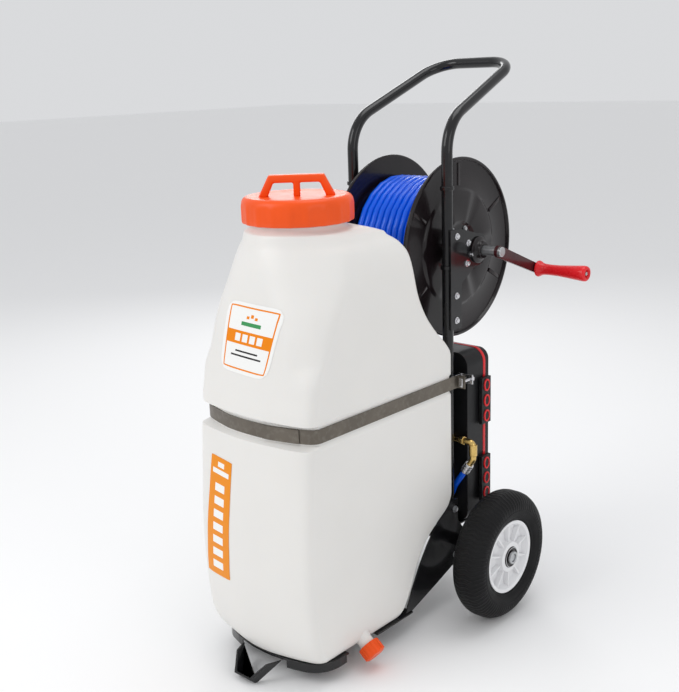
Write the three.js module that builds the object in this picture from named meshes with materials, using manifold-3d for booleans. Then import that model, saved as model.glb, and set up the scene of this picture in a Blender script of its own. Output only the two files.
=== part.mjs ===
/**
 * Wheeled sprayer cart: a moulded tank strapped to a bent-tube hand cart, with a hose reel,
 * a clamshell power case behind the posts and two pneumatic wheels.
 *
 * Units are millimetres, +Z is up, -Y is the front of the tank and +X is the crank side.
 * The cart is drawn around the ground point midway between its posts, then moved so that
 * the origin lies under the middle of its bounding box.
 */
import * as THREE from 'three';
import * as BufferGeometryUtils from 'three/addons/utils/BufferGeometryUtils.js';
import Module from 'manifold-3d';

const wasm = await Module();
wasm.setup();

// ---------------------------------------------------------------- driving dimensions
const GAP = 0.35;

const TUBE_R = 11;
const TUBE_WALL = 1.8;
const POST_X = 120;
const POST_FOOT_Z = 92;
const HANDLE_BEND_Z = 1003;
const HANDLE_BEND_R = 85;
const HANDLE_CORNER_R = 62;
const GRIP_BAR = { x: 98, y: 268, z: 1114 };
const UPPER_MEMBER_Z = 556;
const MEMBER_R = 9;

const WHEEL_R = 133;
const WHEEL_X = 228;
const AXLE_Y = 25;
const AXLE_R = 8;
const AXLE_TUBE_R = 12.5;
const AXLE_END_X = 262;
const TYRE_W = 72;
const RIM_R = 76;
const RIM_W = 58;
const BEARING_R = 22;

const TRAY_Z = 40;
const TRAY_BACK_Y = -148;
const TRAY_SKIRT = 15;
const TRAY_T = 4;
const TRAY_HALF_W = 137;
const NOTCH_X = 100;
const NOTCH_HALF = 42;
const PLATE_X = POST_X + TUBE_R + 0.4;
const PLATE_T = 3;
const FOOT = { topX: 56, topY: -436, topZ: 46, soleX: 22, soleY: -480, strip: 20, thick: 4 };

const TANK_BOTTOM_Z = TRAY_Z + TRAY_T + GAP;
const TANK_WALL = 4.5;
const TANK_BACK_Y = -13.5;
const NECK = { y: -291, r: 88, base: 836, top: 866 };
const CAP = { r: 102, bottom: 846, top: 893, flutes: 20 };
const CAP_HANDLE = { turn: 42, foot: 70, top: 50, height: 37, bar: 13, wide: 17 };
const STRAP = { z: 481, height: 26, thick: 2, tabX: 160, tabY: 3, earY: 30 };
const DRAIN = { x: 131, y: -302, z: 58, tilt: 38, r: 15, length: 40, bore: 10 };
const DRAIN_CAP = { r: 21, length: 25, ribs: 16 };

const REEL = { y: 82, z: 750, r: 183, half: 86, dish: 6, drumR: 83, shaftR: 10 };
const WINDING_R = 143;
const CONNECTOR = { x: 76, rho: 134.5, length: 42, radius: 8.2, turn: -82 };
const BRACKET_X = POST_X + TUBE_R + 0.4;
const BRACKET_T = 4;
const CRANK = { x: 181, arm: 153, drop: 21.5, wide: 24, thick: 6, grip: 116, gripR: 15 };

const CASE = { half: 143, front: 34, seam: 90, bandEnd: 98, back: 118, bottom: 172, top: 543,
  corner: 28, wall: 3.5 };
const LATCH = { height: 100, deep: 26, thick: 8, lowZ: 212, highZ: 384 };
const OUTLET = { x: 108, y: 21, z: 362, nutX: 134.5, elbowX: 166, bendZ: 326, tilt: 34 };
const TANK_OUTLET = { x: -60, y: -165, z: 122, end: -96 };

const DEG = Math.PI / 180;

// ---------------------------------------------------------------- finishes
/** A plain finish: base colour, roughness and metalness. */
function finish(color, roughness, metalness = 0) {
  return new THREE.MeshStandardMaterial({ color, roughness, metalness });
}

const FINISH = {
  blackPaint: finish(0x17181a, 0.35, 0.3),
  blackSteel: finish(0x1b1b1d, 0.3, 0.5),
  whiteTank: finish(0xf1efec, 0.45),
  orange: finish(0xf5621f, 0.4),
  rubber: finish(0x1c1c1c, 0.85),
  whitePlastic: finish(0xf3f3f3, 0.4),
  strapSteel: finish(0x7a7266, 0.45, 0.6),
  chrome: finish(0xc9cbce, 0.2, 0.95),
  zinc: finish(0xaeb1b4, 0.35, 0.85),
  hoseBlue: finish(0x0a55d8, 0.3),
  redPlastic: finish(0xd8262f, 0.4),
  blackPlastic: finish(0x222326, 0.5),
  brass: finish(0xc39a45, 0.3, 0.9),
  motorSteel: finish(0x8c9096, 0.35, 0.8),
  greyPlastic: finish(0x4a4d50, 0.5),
  clearHose: finish(0x2b2c2e, 0.4),
};

// ---------------------------------------------------------------- geometry helpers
/** Keeps only merged positions, which is what a solid needs. */
function weld(geometry) {
  const plain = geometry.clone();
  plain.deleteAttribute('normal');
  plain.deleteAttribute('uv');
  return BufferGeometryUtils.mergeVertices(plain, 1e-3);
}

/** Turns a closed geometry into a solid for joining and cutting. */
function solid(geometry) {
  const welded = weld(geometry);
  return new wasm.Manifold(new wasm.Mesh({
    numProp: 3,
    vertProperties: new Float32Array(welded.attributes.position.array),
    triVerts: new Uint32Array(welded.index.array),
  }));
}

/** Turns a solid back into a geometry. */
function fromSolid(body) {
  const mesh = body.getMesh();
  const geometry = new THREE.BufferGeometry();
  geometry.setAttribute('position', new THREE.BufferAttribute(new Float32Array(mesh.vertProperties), 3));
  geometry.setIndex(new THREE.BufferAttribute(new Uint32Array(mesh.triVerts), 1));
  geometry.computeVertexNormals();
  return geometry;
}

/** Joins the first geometry with others, then cuts tools out of it. */
function shapeSolid(base, joins = [], cuts = []) {
  let body = solid(base);
  for (const piece of joins) body = body.add(solid(piece));
  for (const tool of cuts) body = body.subtract(solid(tool));
  return fromSolid(body);
}

/** A round rod from one point to another. */
function rodBetween(from, to, radius, sides = 18) {
  const a = new THREE.Vector3(...from);
  const along = new THREE.Vector3(...to).sub(a);
  const turn = new THREE.Quaternion().setFromUnitVectors(
    new THREE.Vector3(0, 1, 0), along.clone().normalize());
  return new THREE.CylinderGeometry(radius, radius, along.length(), sides)
    .translate(0, along.length() / 2, 0).applyQuaternion(turn).translate(...from);
}

/** A box between two corners. */
function boxBetween(x0, x1, y0, y1, z0, z1) {
  return new THREE.BoxGeometry(x1 - x0, y1 - y0, z1 - z0)
    .translate((x0 + x1) / 2, (y0 + y1) / 2, (z0 + z1) / 2);
}

/** A cylinder with its axis along x, y or z, starting at a point and running for a length. */
function rod(axis, start, length, radius, sides = 20, endRadius = radius) {
  const geometry = new THREE.CylinderGeometry(endRadius, radius, length, sides)
    .translate(0, length / 2, 0);
  if (axis === 'x') geometry.rotateZ(-90 * DEG);
  if (axis === 'z') geometry.rotateX(90 * DEG);
  return geometry.translate(...start);
}

/** A turned piece about the x axis: profile points are [x, radius], on the axis or closed. */
function turnedX(profile, sides) {
  const points = profile.map(([x, r]) => new THREE.Vector2(r, x));
  return new THREE.LatheGeometry(points, sides).rotateZ(-90 * DEG);
}

/** A turned piece about the z axis: profile points are [radius, z]. */
function turnedZ(profile, sides) {
  const points = profile.map(([r, z]) => new THREE.Vector2(r, z));
  return new THREE.LatheGeometry(points, sides).rotateX(90 * DEG);
}

/** A Shape through straight [x, y] points. */
function outline(points) {
  return new THREE.Shape(points.map(([x, y]) => new THREE.Vector2(x, y)));
}

/** A rectangle with round corners, as a Shape. */
function roundedRect(x0, x1, y0, y1, r) {
  const shape = new THREE.Shape();
  shape.moveTo(x0 + r, y0);
  shape.lineTo(x1 - r, y0);
  shape.absarc(x1 - r, y0 + r, r, -90 * DEG, 0);
  shape.lineTo(x1, y1 - r);
  shape.absarc(x1 - r, y1 - r, r, 0, 90 * DEG);
  shape.lineTo(x0 + r, y1);
  shape.absarc(x0 + r, y1 - r, r, 90 * DEG, 180 * DEG);
  shape.lineTo(x0, y0 + r);
  shape.absarc(x0 + r, y0 + r, r, 180 * DEG, 270 * DEG);
  return shape;
}

/** Extrudes a Shape drawn in x and z along +y from y0 to y1. */
function slabY(shape, y0, y1, curveSegments = 6) {
  return new THREE.ExtrudeGeometry(shape, { depth: y1 - y0, bevelEnabled: false, curveSegments })
    .rotateX(90 * DEG).translate(0, y1, 0);
}

/** Extrudes a Shape drawn in y and z along +x from x0 to x1. */
function slabX(shape, x0, x1, curveSegments = 6) {
  return new THREE.ExtrudeGeometry(shape, { depth: x1 - x0, bevelEnabled: false, curveSegments })
    .rotateX(90 * DEG).rotateZ(90 * DEG).translate(x0, 0, 0);
}

/** Extrudes a Shape drawn in x and y along +z from z0 to z1. */
function slabZ(shape, z0, z1, curveSegments = 6) {
  return new THREE.ExtrudeGeometry(shape, { depth: z1 - z0, bevelEnabled: false, curveSegments })
    .translate(0, 0, z0);
}

/** A route of straight runs and bends, stepped only where it turns. */
class Route extends THREE.Curve {
  /** @param {THREE.Vector3[]} stops one position for each swept section */
  constructor(stops) {
    super();
    this.stops = stops;
  }

  getPoint(t, target = new THREE.Vector3()) {
    const at = t * (this.stops.length - 1);
    const i = Math.min(Math.floor(at + 1e-9), this.stops.length - 2);
    return target.lerpVectors(this.stops[i], this.stops[i + 1], at - i);
  }

  getPointAt(u, target) {
    return this.getPoint(u, target);
  }

  getSpacedPoints(divisions) {
    return this.getPoints(divisions);
  }

  getTangent(t, target = new THREE.Vector3()) {
    const i = Math.round(t * (this.stops.length - 1));
    const before = this.stops[Math.max(i - 1, 0)];
    const here = this.stops[i];
    const after = this.stops[Math.min(i + 1, this.stops.length - 1)];
    const arriving = here.clone().sub(before).normalize();
    const leaving = after.clone().sub(here).normalize();
    return target.copy(arriving).add(leaving).normalize();
  }

  getTangentAt(u, target) {
    return this.getTangent(u, target);
  }
}

/** Rounds each inner corner of a polyline with an arc: corners are [x, y, z, radius]. */
function filletedRoute(corners, stepDegrees = 12) {
  const at = corners.map(([x, y, z]) => new THREE.Vector3(x, y, z));
  const stops = [at[0]];
  for (let i = 1; i < at.length - 1; i += 1) {
    const back = at[i - 1].clone().sub(at[i]).normalize();
    const on = at[i + 1].clone().sub(at[i]).normalize();
    const turn = Math.PI - back.angleTo(on);
    const radius = corners[i][3];
    const reach = radius * Math.tan(turn / 2);
    const middle = back.clone().add(on).normalize();
    const centre = at[i].clone().addScaledVector(middle, radius / Math.cos(turn / 2));
    const start = at[i].clone().addScaledVector(back, reach).sub(centre);
    const axis = new THREE.Vector3().crossVectors(start, at[i].clone().sub(centre)).normalize();
    const steps = Math.max(2, Math.round(turn / DEG / stepDegrees));
    for (let k = 0; k <= steps; k += 1) {
      stops.push(start.clone().applyAxisAngle(axis, turn * k / steps).add(centre));
    }
  }
  stops.push(at[at.length - 1]);
  return new Route(stops);
}

/** Sweeps a Shape along a Route. */
function sweep(shape, route, curveSegments = 6) {
  const steps = route.stops.length - 1;
  return new THREE.ExtrudeGeometry(shape, { steps, extrudePath: route, bevelEnabled: false, curveSegments });
}

/** A regular polygon standing for a circle. */
function ringOutline(radius, sides) {
  const ring = [];
  for (let i = 0; i < sides; i += 1) {
    const a = (i / sides) * 2 * Math.PI;
    ring.push([radius * Math.cos(a), radius * Math.sin(a)]);
  }
  return outline(ring);
}

/** A round cord along a Route, or a tube when it has a bore radius. */
function roundAlong(route, radius, sides = 12, bore = 0) {
  const section = ringOutline(radius, sides);
  if (bore > 0) section.holes.push(ringOutline(bore, sides));
  return sweep(section, route);
}

/** Skins a stack of rings, each an array of Vector3 with the same count, and closes both ends. */
function loft(rings) {
  const count = rings[0].length;
  const positions = rings.flat().flatMap((p) => [p.x, p.y, p.z]);
  const index = [];
  for (let level = 0; level < rings.length - 1; level += 1) {
    for (let i = 0; i < count; i += 1) {
      const a = level * count + i;
      const b = level * count + ((i + 1) % count);
      index.push(a, b, b + count, a, b + count, a + count);
    }
  }
  for (const [level, flip] of [[0, true], [rings.length - 1, false]]) {
    const flat = rings[level].map((p) => new THREE.Vector2(p.x, p.y));
    for (const [a, b, c] of THREE.ShapeUtils.triangulateShape(flat, [])) {
      const base = level * count;
      if (flip) index.push(base + a, base + c, base + b);
      else index.push(base + a, base + b, base + c);
    }
  }
  const geometry = new THREE.BufferGeometry();
  geometry.setAttribute('position', new THREE.Float32BufferAttribute(positions, 3));
  geometry.setIndex(index);
  return geometry;
}

// ---------------------------------------------------------------- assembly
const cart = new THREE.Group();

/** Adds one named piece, drawn in cart coordinates. */
function add(name, geometry, material) {
  const mesh = new THREE.Mesh(geometry, material);
  mesh.name = name;
  cart.add(mesh);
  return mesh;
}

const SIDES = [['right', 1], ['left', -1]];

/** Mirrors a geometry to the other side of the cart and keeps its faces pointing out. */
function toSide(geometry, side) {
  if (side > 0) return geometry.clone();
  return fromSolid(solid(geometry).mirror([1, 0, 0]));
}

/** Handle and posts: one bent tube from foot to foot, narrowing towards the grip bar. */
function addHandle() {
  const { x, y, z } = GRIP_BAR;
  const route = filletedRoute([
    [-POST_X, 0, POST_FOOT_Z],
    [-POST_X, 0, HANDLE_BEND_Z, HANDLE_BEND_R],
    [-x, y, z, HANDLE_CORNER_R],
    [x, y, z, HANDLE_CORNER_R],
    [POST_X, 0, HANDLE_BEND_Z, HANDLE_BEND_R],
    [POST_X, 0, POST_FOOT_Z],
  ]);
  add('handle_tube', roundAlong(route, TUBE_R, 14, TUBE_R - TUBE_WALL), FINISH.blackPaint);
  const reach = POST_X - TUBE_R - GAP;
  add('upper_crossmember', rod('x', [-reach, 0, UPPER_MEMBER_Z], 2 * reach, MEMBER_R, 16),
    FINISH.blackPaint);
}

/** Side profile of the cradle plate, following the relief under the tank's back. */
function cradleProfile() {
  const shape = new THREE.Shape();
  shape.moveTo(-168, TRAY_Z + TRAY_T + GAP);
  shape.lineTo(-146, TRAY_Z + TRAY_T + GAP);
  shape.lineTo(-60, 72);
  shape.lineTo(-8, 90);
  shape.lineTo(50, 100);
  shape.lineTo(50, 150);
  shape.lineTo(30, 162);
  shape.lineTo(12, 186);
  shape.lineTo(12, 236);
  shape.lineTo(-10, 236);
  shape.quadraticCurveTo(-100, 196, -168, TRAY_Z + TRAY_T + GAP);
  return shape;
}

/** Plan of the tray, following the nose of the tank, shrunk by an inset. */
function trayOutline(inset) {
  const half = TRAY_HALF_W - inset;
  const shape = new THREE.Shape();
  shape.moveTo(-half, TRAY_BACK_Y + inset * 20);
  shape.lineTo(-half, -370);
  shape.quadraticCurveTo(-half + 4, -410 + inset, -100, -424 + inset);
  shape.quadraticCurveTo(0, -460 + inset, 100, -424 + inset);
  shape.quadraticCurveTo(half - 4, -410 + inset, half, -370);
  shape.lineTo(half, TRAY_BACK_Y + inset * 20);
  return shape;
}

/** Axle, its welded tube, the tank tray, the cradle plates and the front foot. */
function addUndercarriage() {
  add('axle', rod('x', [-AXLE_END_X, AXLE_Y, WHEEL_R], 2 * AXLE_END_X, AXLE_R, 20), FINISH.zinc);

  const tubeReach = PLATE_X - GAP;
  add('axle_tube', shapeSolid(
    rod('x', [-tubeReach, AXLE_Y, WHEEL_R], 2 * tubeReach, AXLE_TUBE_R, 20), [],
    [rod('x', [-tubeReach - 1, AXLE_Y, WHEEL_R], 2 * tubeReach + 2, AXLE_R + GAP, 20)],
  ), FINISH.blackPaint);

  const notch = boxBetween(NOTCH_X, TRAY_HALF_W + 5, DRAIN.y - NOTCH_HALF, DRAIN.y + NOTCH_HALF, 0, 90);
  const skirtStart = boxBetween(-TRAY_HALF_W - 5, TRAY_HALF_W + 5, -350, 0, 0, TRAY_Z);
  const footGap = boxBetween(-FOOT.topX - 4, FOOT.topX + 4, -480, -350, 0, TRAY_Z);
  add('base_tray', shapeSolid(
    slabZ(trayOutline(0), TRAY_Z - TRAY_SKIRT, TRAY_Z + TRAY_T, 8), [],
    [slabZ(trayOutline(3), TRAY_Z - TRAY_SKIRT - 1, TRAY_Z, 8), skirtStart, footGap, notch],
  ), FINISH.blackPaint);

  const hole = rod('x', [PLATE_X - 1, AXLE_Y, WHEEL_R], PLATE_T + 2, AXLE_R + GAP, 20);
  const plate = shapeSolid(slabX(cradleProfile(), PLATE_X, PLATE_X + PLATE_T), [], [hole]);
  for (const [name, side] of SIDES) {
    add(`side_plate_${name}`, toSide(plate, side), FINISH.blackPaint);
  }
  addFrontFoot();
}

/** Front foot: a flat strip bent into a hoop that leans forward and stands on a flat sole. */
function addFrontFoot() {
  const drop = FOOT.topZ;
  const lean = Math.atan2(FOOT.topY - FOOT.soleY, drop);
  const slope = Math.hypot(FOOT.topY - FOOT.soleY, drop);
  const { topX, soleX, thick, strip } = FOOT;
  const hoop = outline([
    [-topX, slope], [-soleX, 0], [soleX, 0], [topX, slope],
    [topX - thick, slope], [soleX - thick, thick], [-soleX + thick, thick], [-topX + thick, slope],
  ]);
  const bent = new THREE.ExtrudeGeometry(hoop, { depth: strip, bevelEnabled: false })
    .rotateX(90 * DEG - lean)
    .translate(0, FOOT.soleY, -2);
  const ground = boxBetween(-200, 200, -700, 0, -60, 0);
  const ceiling = boxBetween(-200, 200, -700, 0, TRAY_Z - GAP, TRAY_Z + 90);
  add('front_foot', shapeSolid(bent, [], [ground, ceiling]), FINISH.blackPaint);
}

// ---------------------------------------------------------------- tank
/** The band groove: the one station of the tank that the strap also follows. */
const GROOVE = { half: 140, back: TANK_BACK_Y, front: -444, nose: 52, square: 0.85, cut: 43 };

/**
 * Stations of the tank from the bottom up. Each gives the half width, the back, the front, the
 * half width of the nose panel, how square the shoulder beside it is and how deep its cut runs.
 */
const TANK_STATIONS = [
  { z: TANK_BOTTOM_Z, half: 124, back: -186, front: -434, nose: 34, square: 0.85, cut: 46 },
  { z: 50, half: 134, back: -180, front: -446, nose: 36, square: 0.86, cut: 44 },
  { z: 68, half: 142, back: -170, front: -458, nose: 38, square: 0.88, cut: 42 },
  { z: 104, half: 144, back: -151, front: -466, nose: 38, square: 0.9, cut: 40 },
  { z: 154, half: 144, back: -126, front: -471, nose: 38, square: 0.9, cut: 40 },
  { z: 191, half: 144, back: -95, front: -473, nose: 38, square: 0.9, cut: 40 },
  { z: 215, half: 144, back: -60, front: -474, nose: 38, square: 0.9, cut: 40 },
  { z: 238, half: 144, back: -24, front: -474, nose: 38, square: 0.9, cut: 40 },
  { z: 262, half: 144, back: TANK_BACK_Y, front: -474, nose: 39, square: 0.9, cut: 40 },
  { z: 360, half: 144, back: TANK_BACK_Y, front: -468, nose: 42, square: 0.9, cut: 40 },
  { z: 440, half: 144, back: TANK_BACK_Y, front: -460, nose: 47, square: 0.9, cut: 39 },
  { z: 472, half: 144, back: TANK_BACK_Y, front: -455, nose: 51, square: 0.9, cut: 38 },
  { ...GROOVE, z: 477 },
  { ...GROOVE, z: 510 },
  { z: 515, half: 144, back: TANK_BACK_Y, front: -449, nose: 57, square: 0.9, cut: 38 },
  { z: 555, half: 144, back: TANK_BACK_Y, front: -440, nose: 74, square: 0.88, cut: 36 },
  { z: 578, half: 144, back: -28, front: -436, nose: 85, square: 0.85, cut: 36 },
  { z: 606, half: 143, back: -56, front: -431, nose: 92, square: 0.8, cut: 40 },
  { z: 649, half: 142, back: -91, front: -426, nose: 84, square: 0.76, cut: 62 },
  { z: 695, half: 141, back: -113, front: -420, nose: 62, square: 0.7, cut: 84 },
  { z: 744, half: 139, back: -124, front: -412, nose: 38, square: 0.58, cut: 106 },
  { z: 775, half: 134, back: -131, front: -406, nose: 28, square: 0.54, cut: 112 },
  { z: 800, half: 125, back: -149, front: -399, nose: 24, square: 0.52, cut: 108 },
  { z: 820, half: 111, back: -172, front: -393, nose: 22, square: 0.52, cut: 98 },
];
const TANK_CORNER_R = 16;

/** One half of the plan at a station, from the nose to the middle of the back, inset by a wall. */
function tankHalfPlan(station, inset) {
  const half = station.half - inset;
  const front = station.front + inset;
  const back = station.back - inset;
  const nose = new THREE.Vector2(Math.max(station.nose - inset / 2, 8), front + 3);
  const hip = new THREE.Vector2(half, front + station.cut);
  const lean = Math.max(4, Math.min(24, 2 * station.cut - 62));
  const knuckle = new THREE.Vector2(half - 3, front + lean);
  const curve = new THREE.CubicBezierCurve(
    nose, nose.clone().lerp(knuckle, station.square), hip.clone().lerp(knuckle, station.square), hip);
  const points = [new THREE.Vector2(0, front), new THREE.Vector2(nose.x * 0.55, front + 0.9)];
  points.push(...curve.getPoints(7));
  const corner = Math.max(TANK_CORNER_R - inset, 6);
  const sideEnd = back - corner;
  for (const share of [0.3, 0.65]) points.push(new THREE.Vector2(half, hip.y + (sideEnd - hip.y) * share));
  for (let k = 0; k <= 3; k += 1) {
    const a = k * 30 * DEG;
    points.push(new THREE.Vector2(
      half - corner + corner * Math.cos(a), sideEnd + corner * Math.sin(a)));
  }
  points.push(new THREE.Vector2(half * 0.4, back), new THREE.Vector2(0, back));
  return points;
}

/** The full ring of a station as a closed loop, counter-clockwise from the nose. */
function tankRing(station, inset, z) {
  const halfPlan = tankHalfPlan(station, inset);
  const mirrored = halfPlan.slice(1, -1).reverse().map((p) => new THREE.Vector2(-p.x, p.y));
  return [...halfPlan, ...mirrored].map((p) => new THREE.Vector3(p.x, p.y, z));
}

/** A circular ring with as many points as a tank ring, matched by direction from the neck. */
function neckRing(like, radius, z) {
  return like.map((p) => {
    const direction = new THREE.Vector2(p.x, p.y - NECK.y).normalize().multiplyScalar(radius);
    return new THREE.Vector3(direction.x, NECK.y + direction.y, z);
  });
}

/** The tank skin: stations, shoulder and neck, moved inwards by an inset. */
function tankSkin(inset, bottom, top) {
  const rings = TANK_STATIONS.map((station, i) => {
    const z = i === 0 ? bottom : Math.max(station.z, bottom + i * 2);
    return tankRing(station, inset, z - (station.z > 780 ? inset : 0));
  });
  const last = rings[rings.length - 1];
  rings.push(neckRing(last, NECK.r + 10 - inset, NECK.base - 4 - inset));
  rings.push(neckRing(last, NECK.r - inset, NECK.base - inset));
  rings.push(neckRing(last, NECK.r - inset, top));
  return loft(rings);
}

/** Direction of the drain spout, out and down from the tank's lower right edge. */
function placeDrain(geometry) {
  return geometry.rotateY((90 + DRAIN.tilt) * DEG).translate(DRAIN.x, DRAIN.y, DRAIN.z);
}

/** Hollow tank with an open neck and a bored drain spout. */
function addTank() {
  const outer = tankSkin(0, TANK_BOTTOM_Z, NECK.top);
  const inner = tankSkin(TANK_WALL, TANK_BOTTOM_Z + TANK_WALL, NECK.top + 5);
  const spout = placeDrain(rod('z', [0, 0, 0], DRAIN.length, DRAIN.r, 20));
  const bore = placeDrain(rod('z', [0, 0, -14], DRAIN.length + 20, DRAIN.bore, 16));
  const { x, y, z } = TANK_OUTLET;
  const port = rod('y', [x, y - 10, z], 60, 6 + GAP, 14);
  const body = [inner, bore, port].reduce(
    (left, tool) => left.subtract(solid(tool)), solid(outer).add(solid(spout)));
  add('tank', fromSolid(body), FINISH.whiteTank);
}

/** Filler group: strainer basket, seal ring and the fluted screw cap with its bridge handle. */
function addFiller() {
  const lip = NECK.top + GAP;
  const strainer = turnedZ([
    [0, lip - 82], [72, lip - 80], [77, lip], [NECK.r - 1, lip], [NECK.r - 1, lip + 2], [74, lip + 2],
    [69, lip - 77.5], [0, lip - 79.5],
  ], 32).translate(0, NECK.y, 0);
  add('strainer', strainer, FINISH.greyPlastic);

  const sealZ = lip + 2 + GAP;
  const seal = turnedZ([[72, sealZ], [NECK.r, sealZ], [NECK.r, sealZ + 3], [72, sealZ + 3], [72, sealZ]], 32)
    .translate(0, NECK.y, 0);
  add('cap_seal', seal, FINISH.rubber);

  const roof = sealZ + 3 + GAP;
  const inner = NECK.r + 2;
  const cup = turnedZ([
    [0, roof], [inner, roof], [inner, CAP.bottom], [CAP.r - 2, CAP.bottom], [CAP.r - 1, CAP.top - 12],
    [CAP.r - 12, CAP.top], [0, CAP.top],
  ], 40);
  const flutes = [];
  for (let i = 0; i < CAP.flutes; i += 1) {
    const a = (i / CAP.flutes) * 2 * Math.PI;
    flutes.push(boxBetween(CAP.r - 4, CAP.r + 1, -7, 7, CAP.bottom, CAP.top - 14).rotateZ(a));
  }
  const { foot, top, height, bar, wide } = CAP_HANDLE;
  const rise = CAP.top - 1;
  const bridge = outline([
    [-foot, rise], [-top, rise + height], [top, rise + height], [foot, rise],
    [foot - bar, rise], [top - bar / 2, rise + height - bar], [bar / 2, rise + height - bar],
    [bar / 2, rise], [-bar / 2, rise], [-bar / 2, rise + height - bar],
    [-top + bar / 2, rise + height - bar], [-foot + bar, rise],
  ]);
  const handle = slabY(bridge, -wide / 2, wide / 2);
  const cap = shapeSolid(cup, [handle, ...flutes]).rotateZ(CAP_HANDLE.turn * DEG).translate(0, NECK.y, 0);
  add('filler_cap', cap, FINISH.orange);
}

/** Drain group: seal and ribbed screw cap on the spout. */
function addDrain() {
  const end = DRAIN.length + GAP;
  add('drain_seal', placeDrain(rod('z', [0, 0, end], 2, DRAIN.r - 1, 20)), FINISH.rubber);
  const roof = end + 2 + GAP;
  const skirt = roof + 4 - DRAIN_CAP.length;
  const ribs = [];
  for (let i = 0; i < DRAIN_CAP.ribs; i += 1) {
    const a = (i / DRAIN_CAP.ribs) * 2 * Math.PI;
    ribs.push(boxBetween(DRAIN_CAP.r - 3, DRAIN_CAP.r + 1, -1.8, 1.8, skirt + 1, roof + 2).rotateZ(a));
  }
  const cup = turnedZ([
    [0, roof], [DRAIN.r + 1, roof], [DRAIN.r + 1, skirt], [DRAIN_CAP.r, skirt],
    [DRAIN_CAP.r, roof + 2], [DRAIN_CAP.r - 3, roof + 4], [0, roof + 4],
  ], 32);
  add('drain_cap', placeDrain(shapeSolid(cup, ribs)), FINISH.orange);
}

/** Half of the strap's plan from its folded end tab to the nose, at an offset from the tank. */
function strapHalfPlan(offset, tabX, tabY) {
  const half = tankHalfPlan(GROOVE, -offset).filter((p) => p.y < -60);
  return [...half, new THREE.Vector2(GROOVE.half + offset, tabY), new THREE.Vector2(tabX, tabY)];
}

/** Strap round the tank at its groove, its ears on the posts and its T-bolts. */
function addStrap() {
  const { z, height, thick, tabX, tabY, earY } = STRAP;
  const middle = z + height / 2;
  const mirror = (points) => points.map((p) => new THREE.Vector2(-p.x, p.y));
  const inside = strapHalfPlan(GAP, tabX, tabY);
  const outside = strapHalfPlan(GAP + thick, tabX, tabY - thick);
  const band = new THREE.Shape([
    ...[...outside].reverse(), ...mirror(outside.slice(1)), ...mirror([...inside].reverse()), ...inside.slice(1),
  ]);
  const boltX = tabX - 7;
  const holes = [-boltX, boltX].map((x) => rod('y', [x, tabY - 20, middle], 40, 3 + GAP, 12));
  add('strap_band', shapeSolid(slabZ(band, z, z + height), [], holes), FINISH.strapSteel);

  const x0 = POST_X + TUBE_R + GAP;
  const ear = shapeSolid(
    boxBetween(x0, x0 + 3, -8, earY, z + 3, z + height - 3),
    [boxBetween(x0, tabX, earY - 3, earY, z + 3, z + height - 3)],
    [rod('y', [boltX, earY - 10, middle], 20, 3 + GAP, 12)],
  );
  const head = tabY - thick - GAP;
  const bolt = shapeSolid(rod('y', [boltX, head - 5, middle], earY + 16 - head, 3, 12), [
    boxBetween(boltX - 4, boltX + 4, head - 5, head, middle - 9, middle + 9),
    rod('y', [boltX, earY + GAP, middle], 6, 6.5, 6),
  ]);
  for (const [name, side] of SIDES) {
    add(`strap_ear_${name}`, toSide(ear, side), FINISH.chrome);
    add(`strap_bolt_${name}`, toSide(bolt, side), FINISH.chrome);
  }
}

// ---------------------------------------------------------------- reel
/** Hose reel on two bearing brackets, with its winding, crank and inlet swivel. */
function addReel() {
  const { y, z, r, half, dish, drumR, shaftR } = REEL;
  const place = (geometry) => geometry.translate(0, y, z);

  add('reel_drum', place(shapeSolid(
    rod('x', [-half + GAP, 0, 0], 2 * (half - GAP), drumR, 28), [],
    [rod('x', [-half - 1, 0, 0], 2 * half + 2, drumR - 3, 28)],
  )), FINISH.blackSteel);

  const bead = 3.5;
  const flange = turnedX([
    [half, shaftR + GAP], [half, r - bead], [half - 1, r], [half + bead * 2, r],
    [half + bead * 2, r - bead], [half + 2, r - bead * 2], [half + 2, r * 0.66],
    [half + dish, r * 0.62], [half + dish, r * 0.3], [half + 2, r * 0.26],
    [half + 2, shaftR + GAP], [half, shaftR + GAP],
  ], 36);
  for (const [name, side] of SIDES) {
    add(`reel_flange_${name}`, place(toSide(flange, side)), FINISH.blackSteel);
  }

  const shaftStart = -BRACKET_X - BRACKET_T - 22;
  const shaftEnd = CRANK.x + CRANK.thick + 7;
  add('reel_shaft', place(rod('x', [shaftStart, 0, 0], shaftEnd - shaftStart, shaftR, 18)), FINISH.zinc);

  const inner = drumR + GAP;
  const reach = half - 1.2;
  const bump = 4;
  const winding = turnedX([
    [-reach, inner], [-reach, WINDING_R - bump], [-reach + bump, WINDING_R],
    [reach - bump, WINDING_R], [reach, WINDING_R - bump], [reach, inner], [-reach, inner],
  ], 36);
  const { x: connectorX, rho, length, radius, turn } = CONNECTOR;
  const pocket = boxBetween(connectorX - radius - GAP, reach + 2, rho - radius - GAP, WINDING_R + 20, -1, length + 2)
    .rotateX(turn * DEG);
  add('hose_winding', place(shapeSolid(winding, [], [pocket])), FINISH.hoseBlue);
  const connector = shapeSolid(rod('z', [connectorX, rho, 0], length, radius - 1.5, 16), [
    rod('z', [connectorX, rho, length * 0.35], length * 0.3, radius, 6),
  ]).rotateX(turn * DEG);
  add('hose_connector', place(connector), FINISH.brass);

  addReelBrackets();
  addCrank();
}

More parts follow.
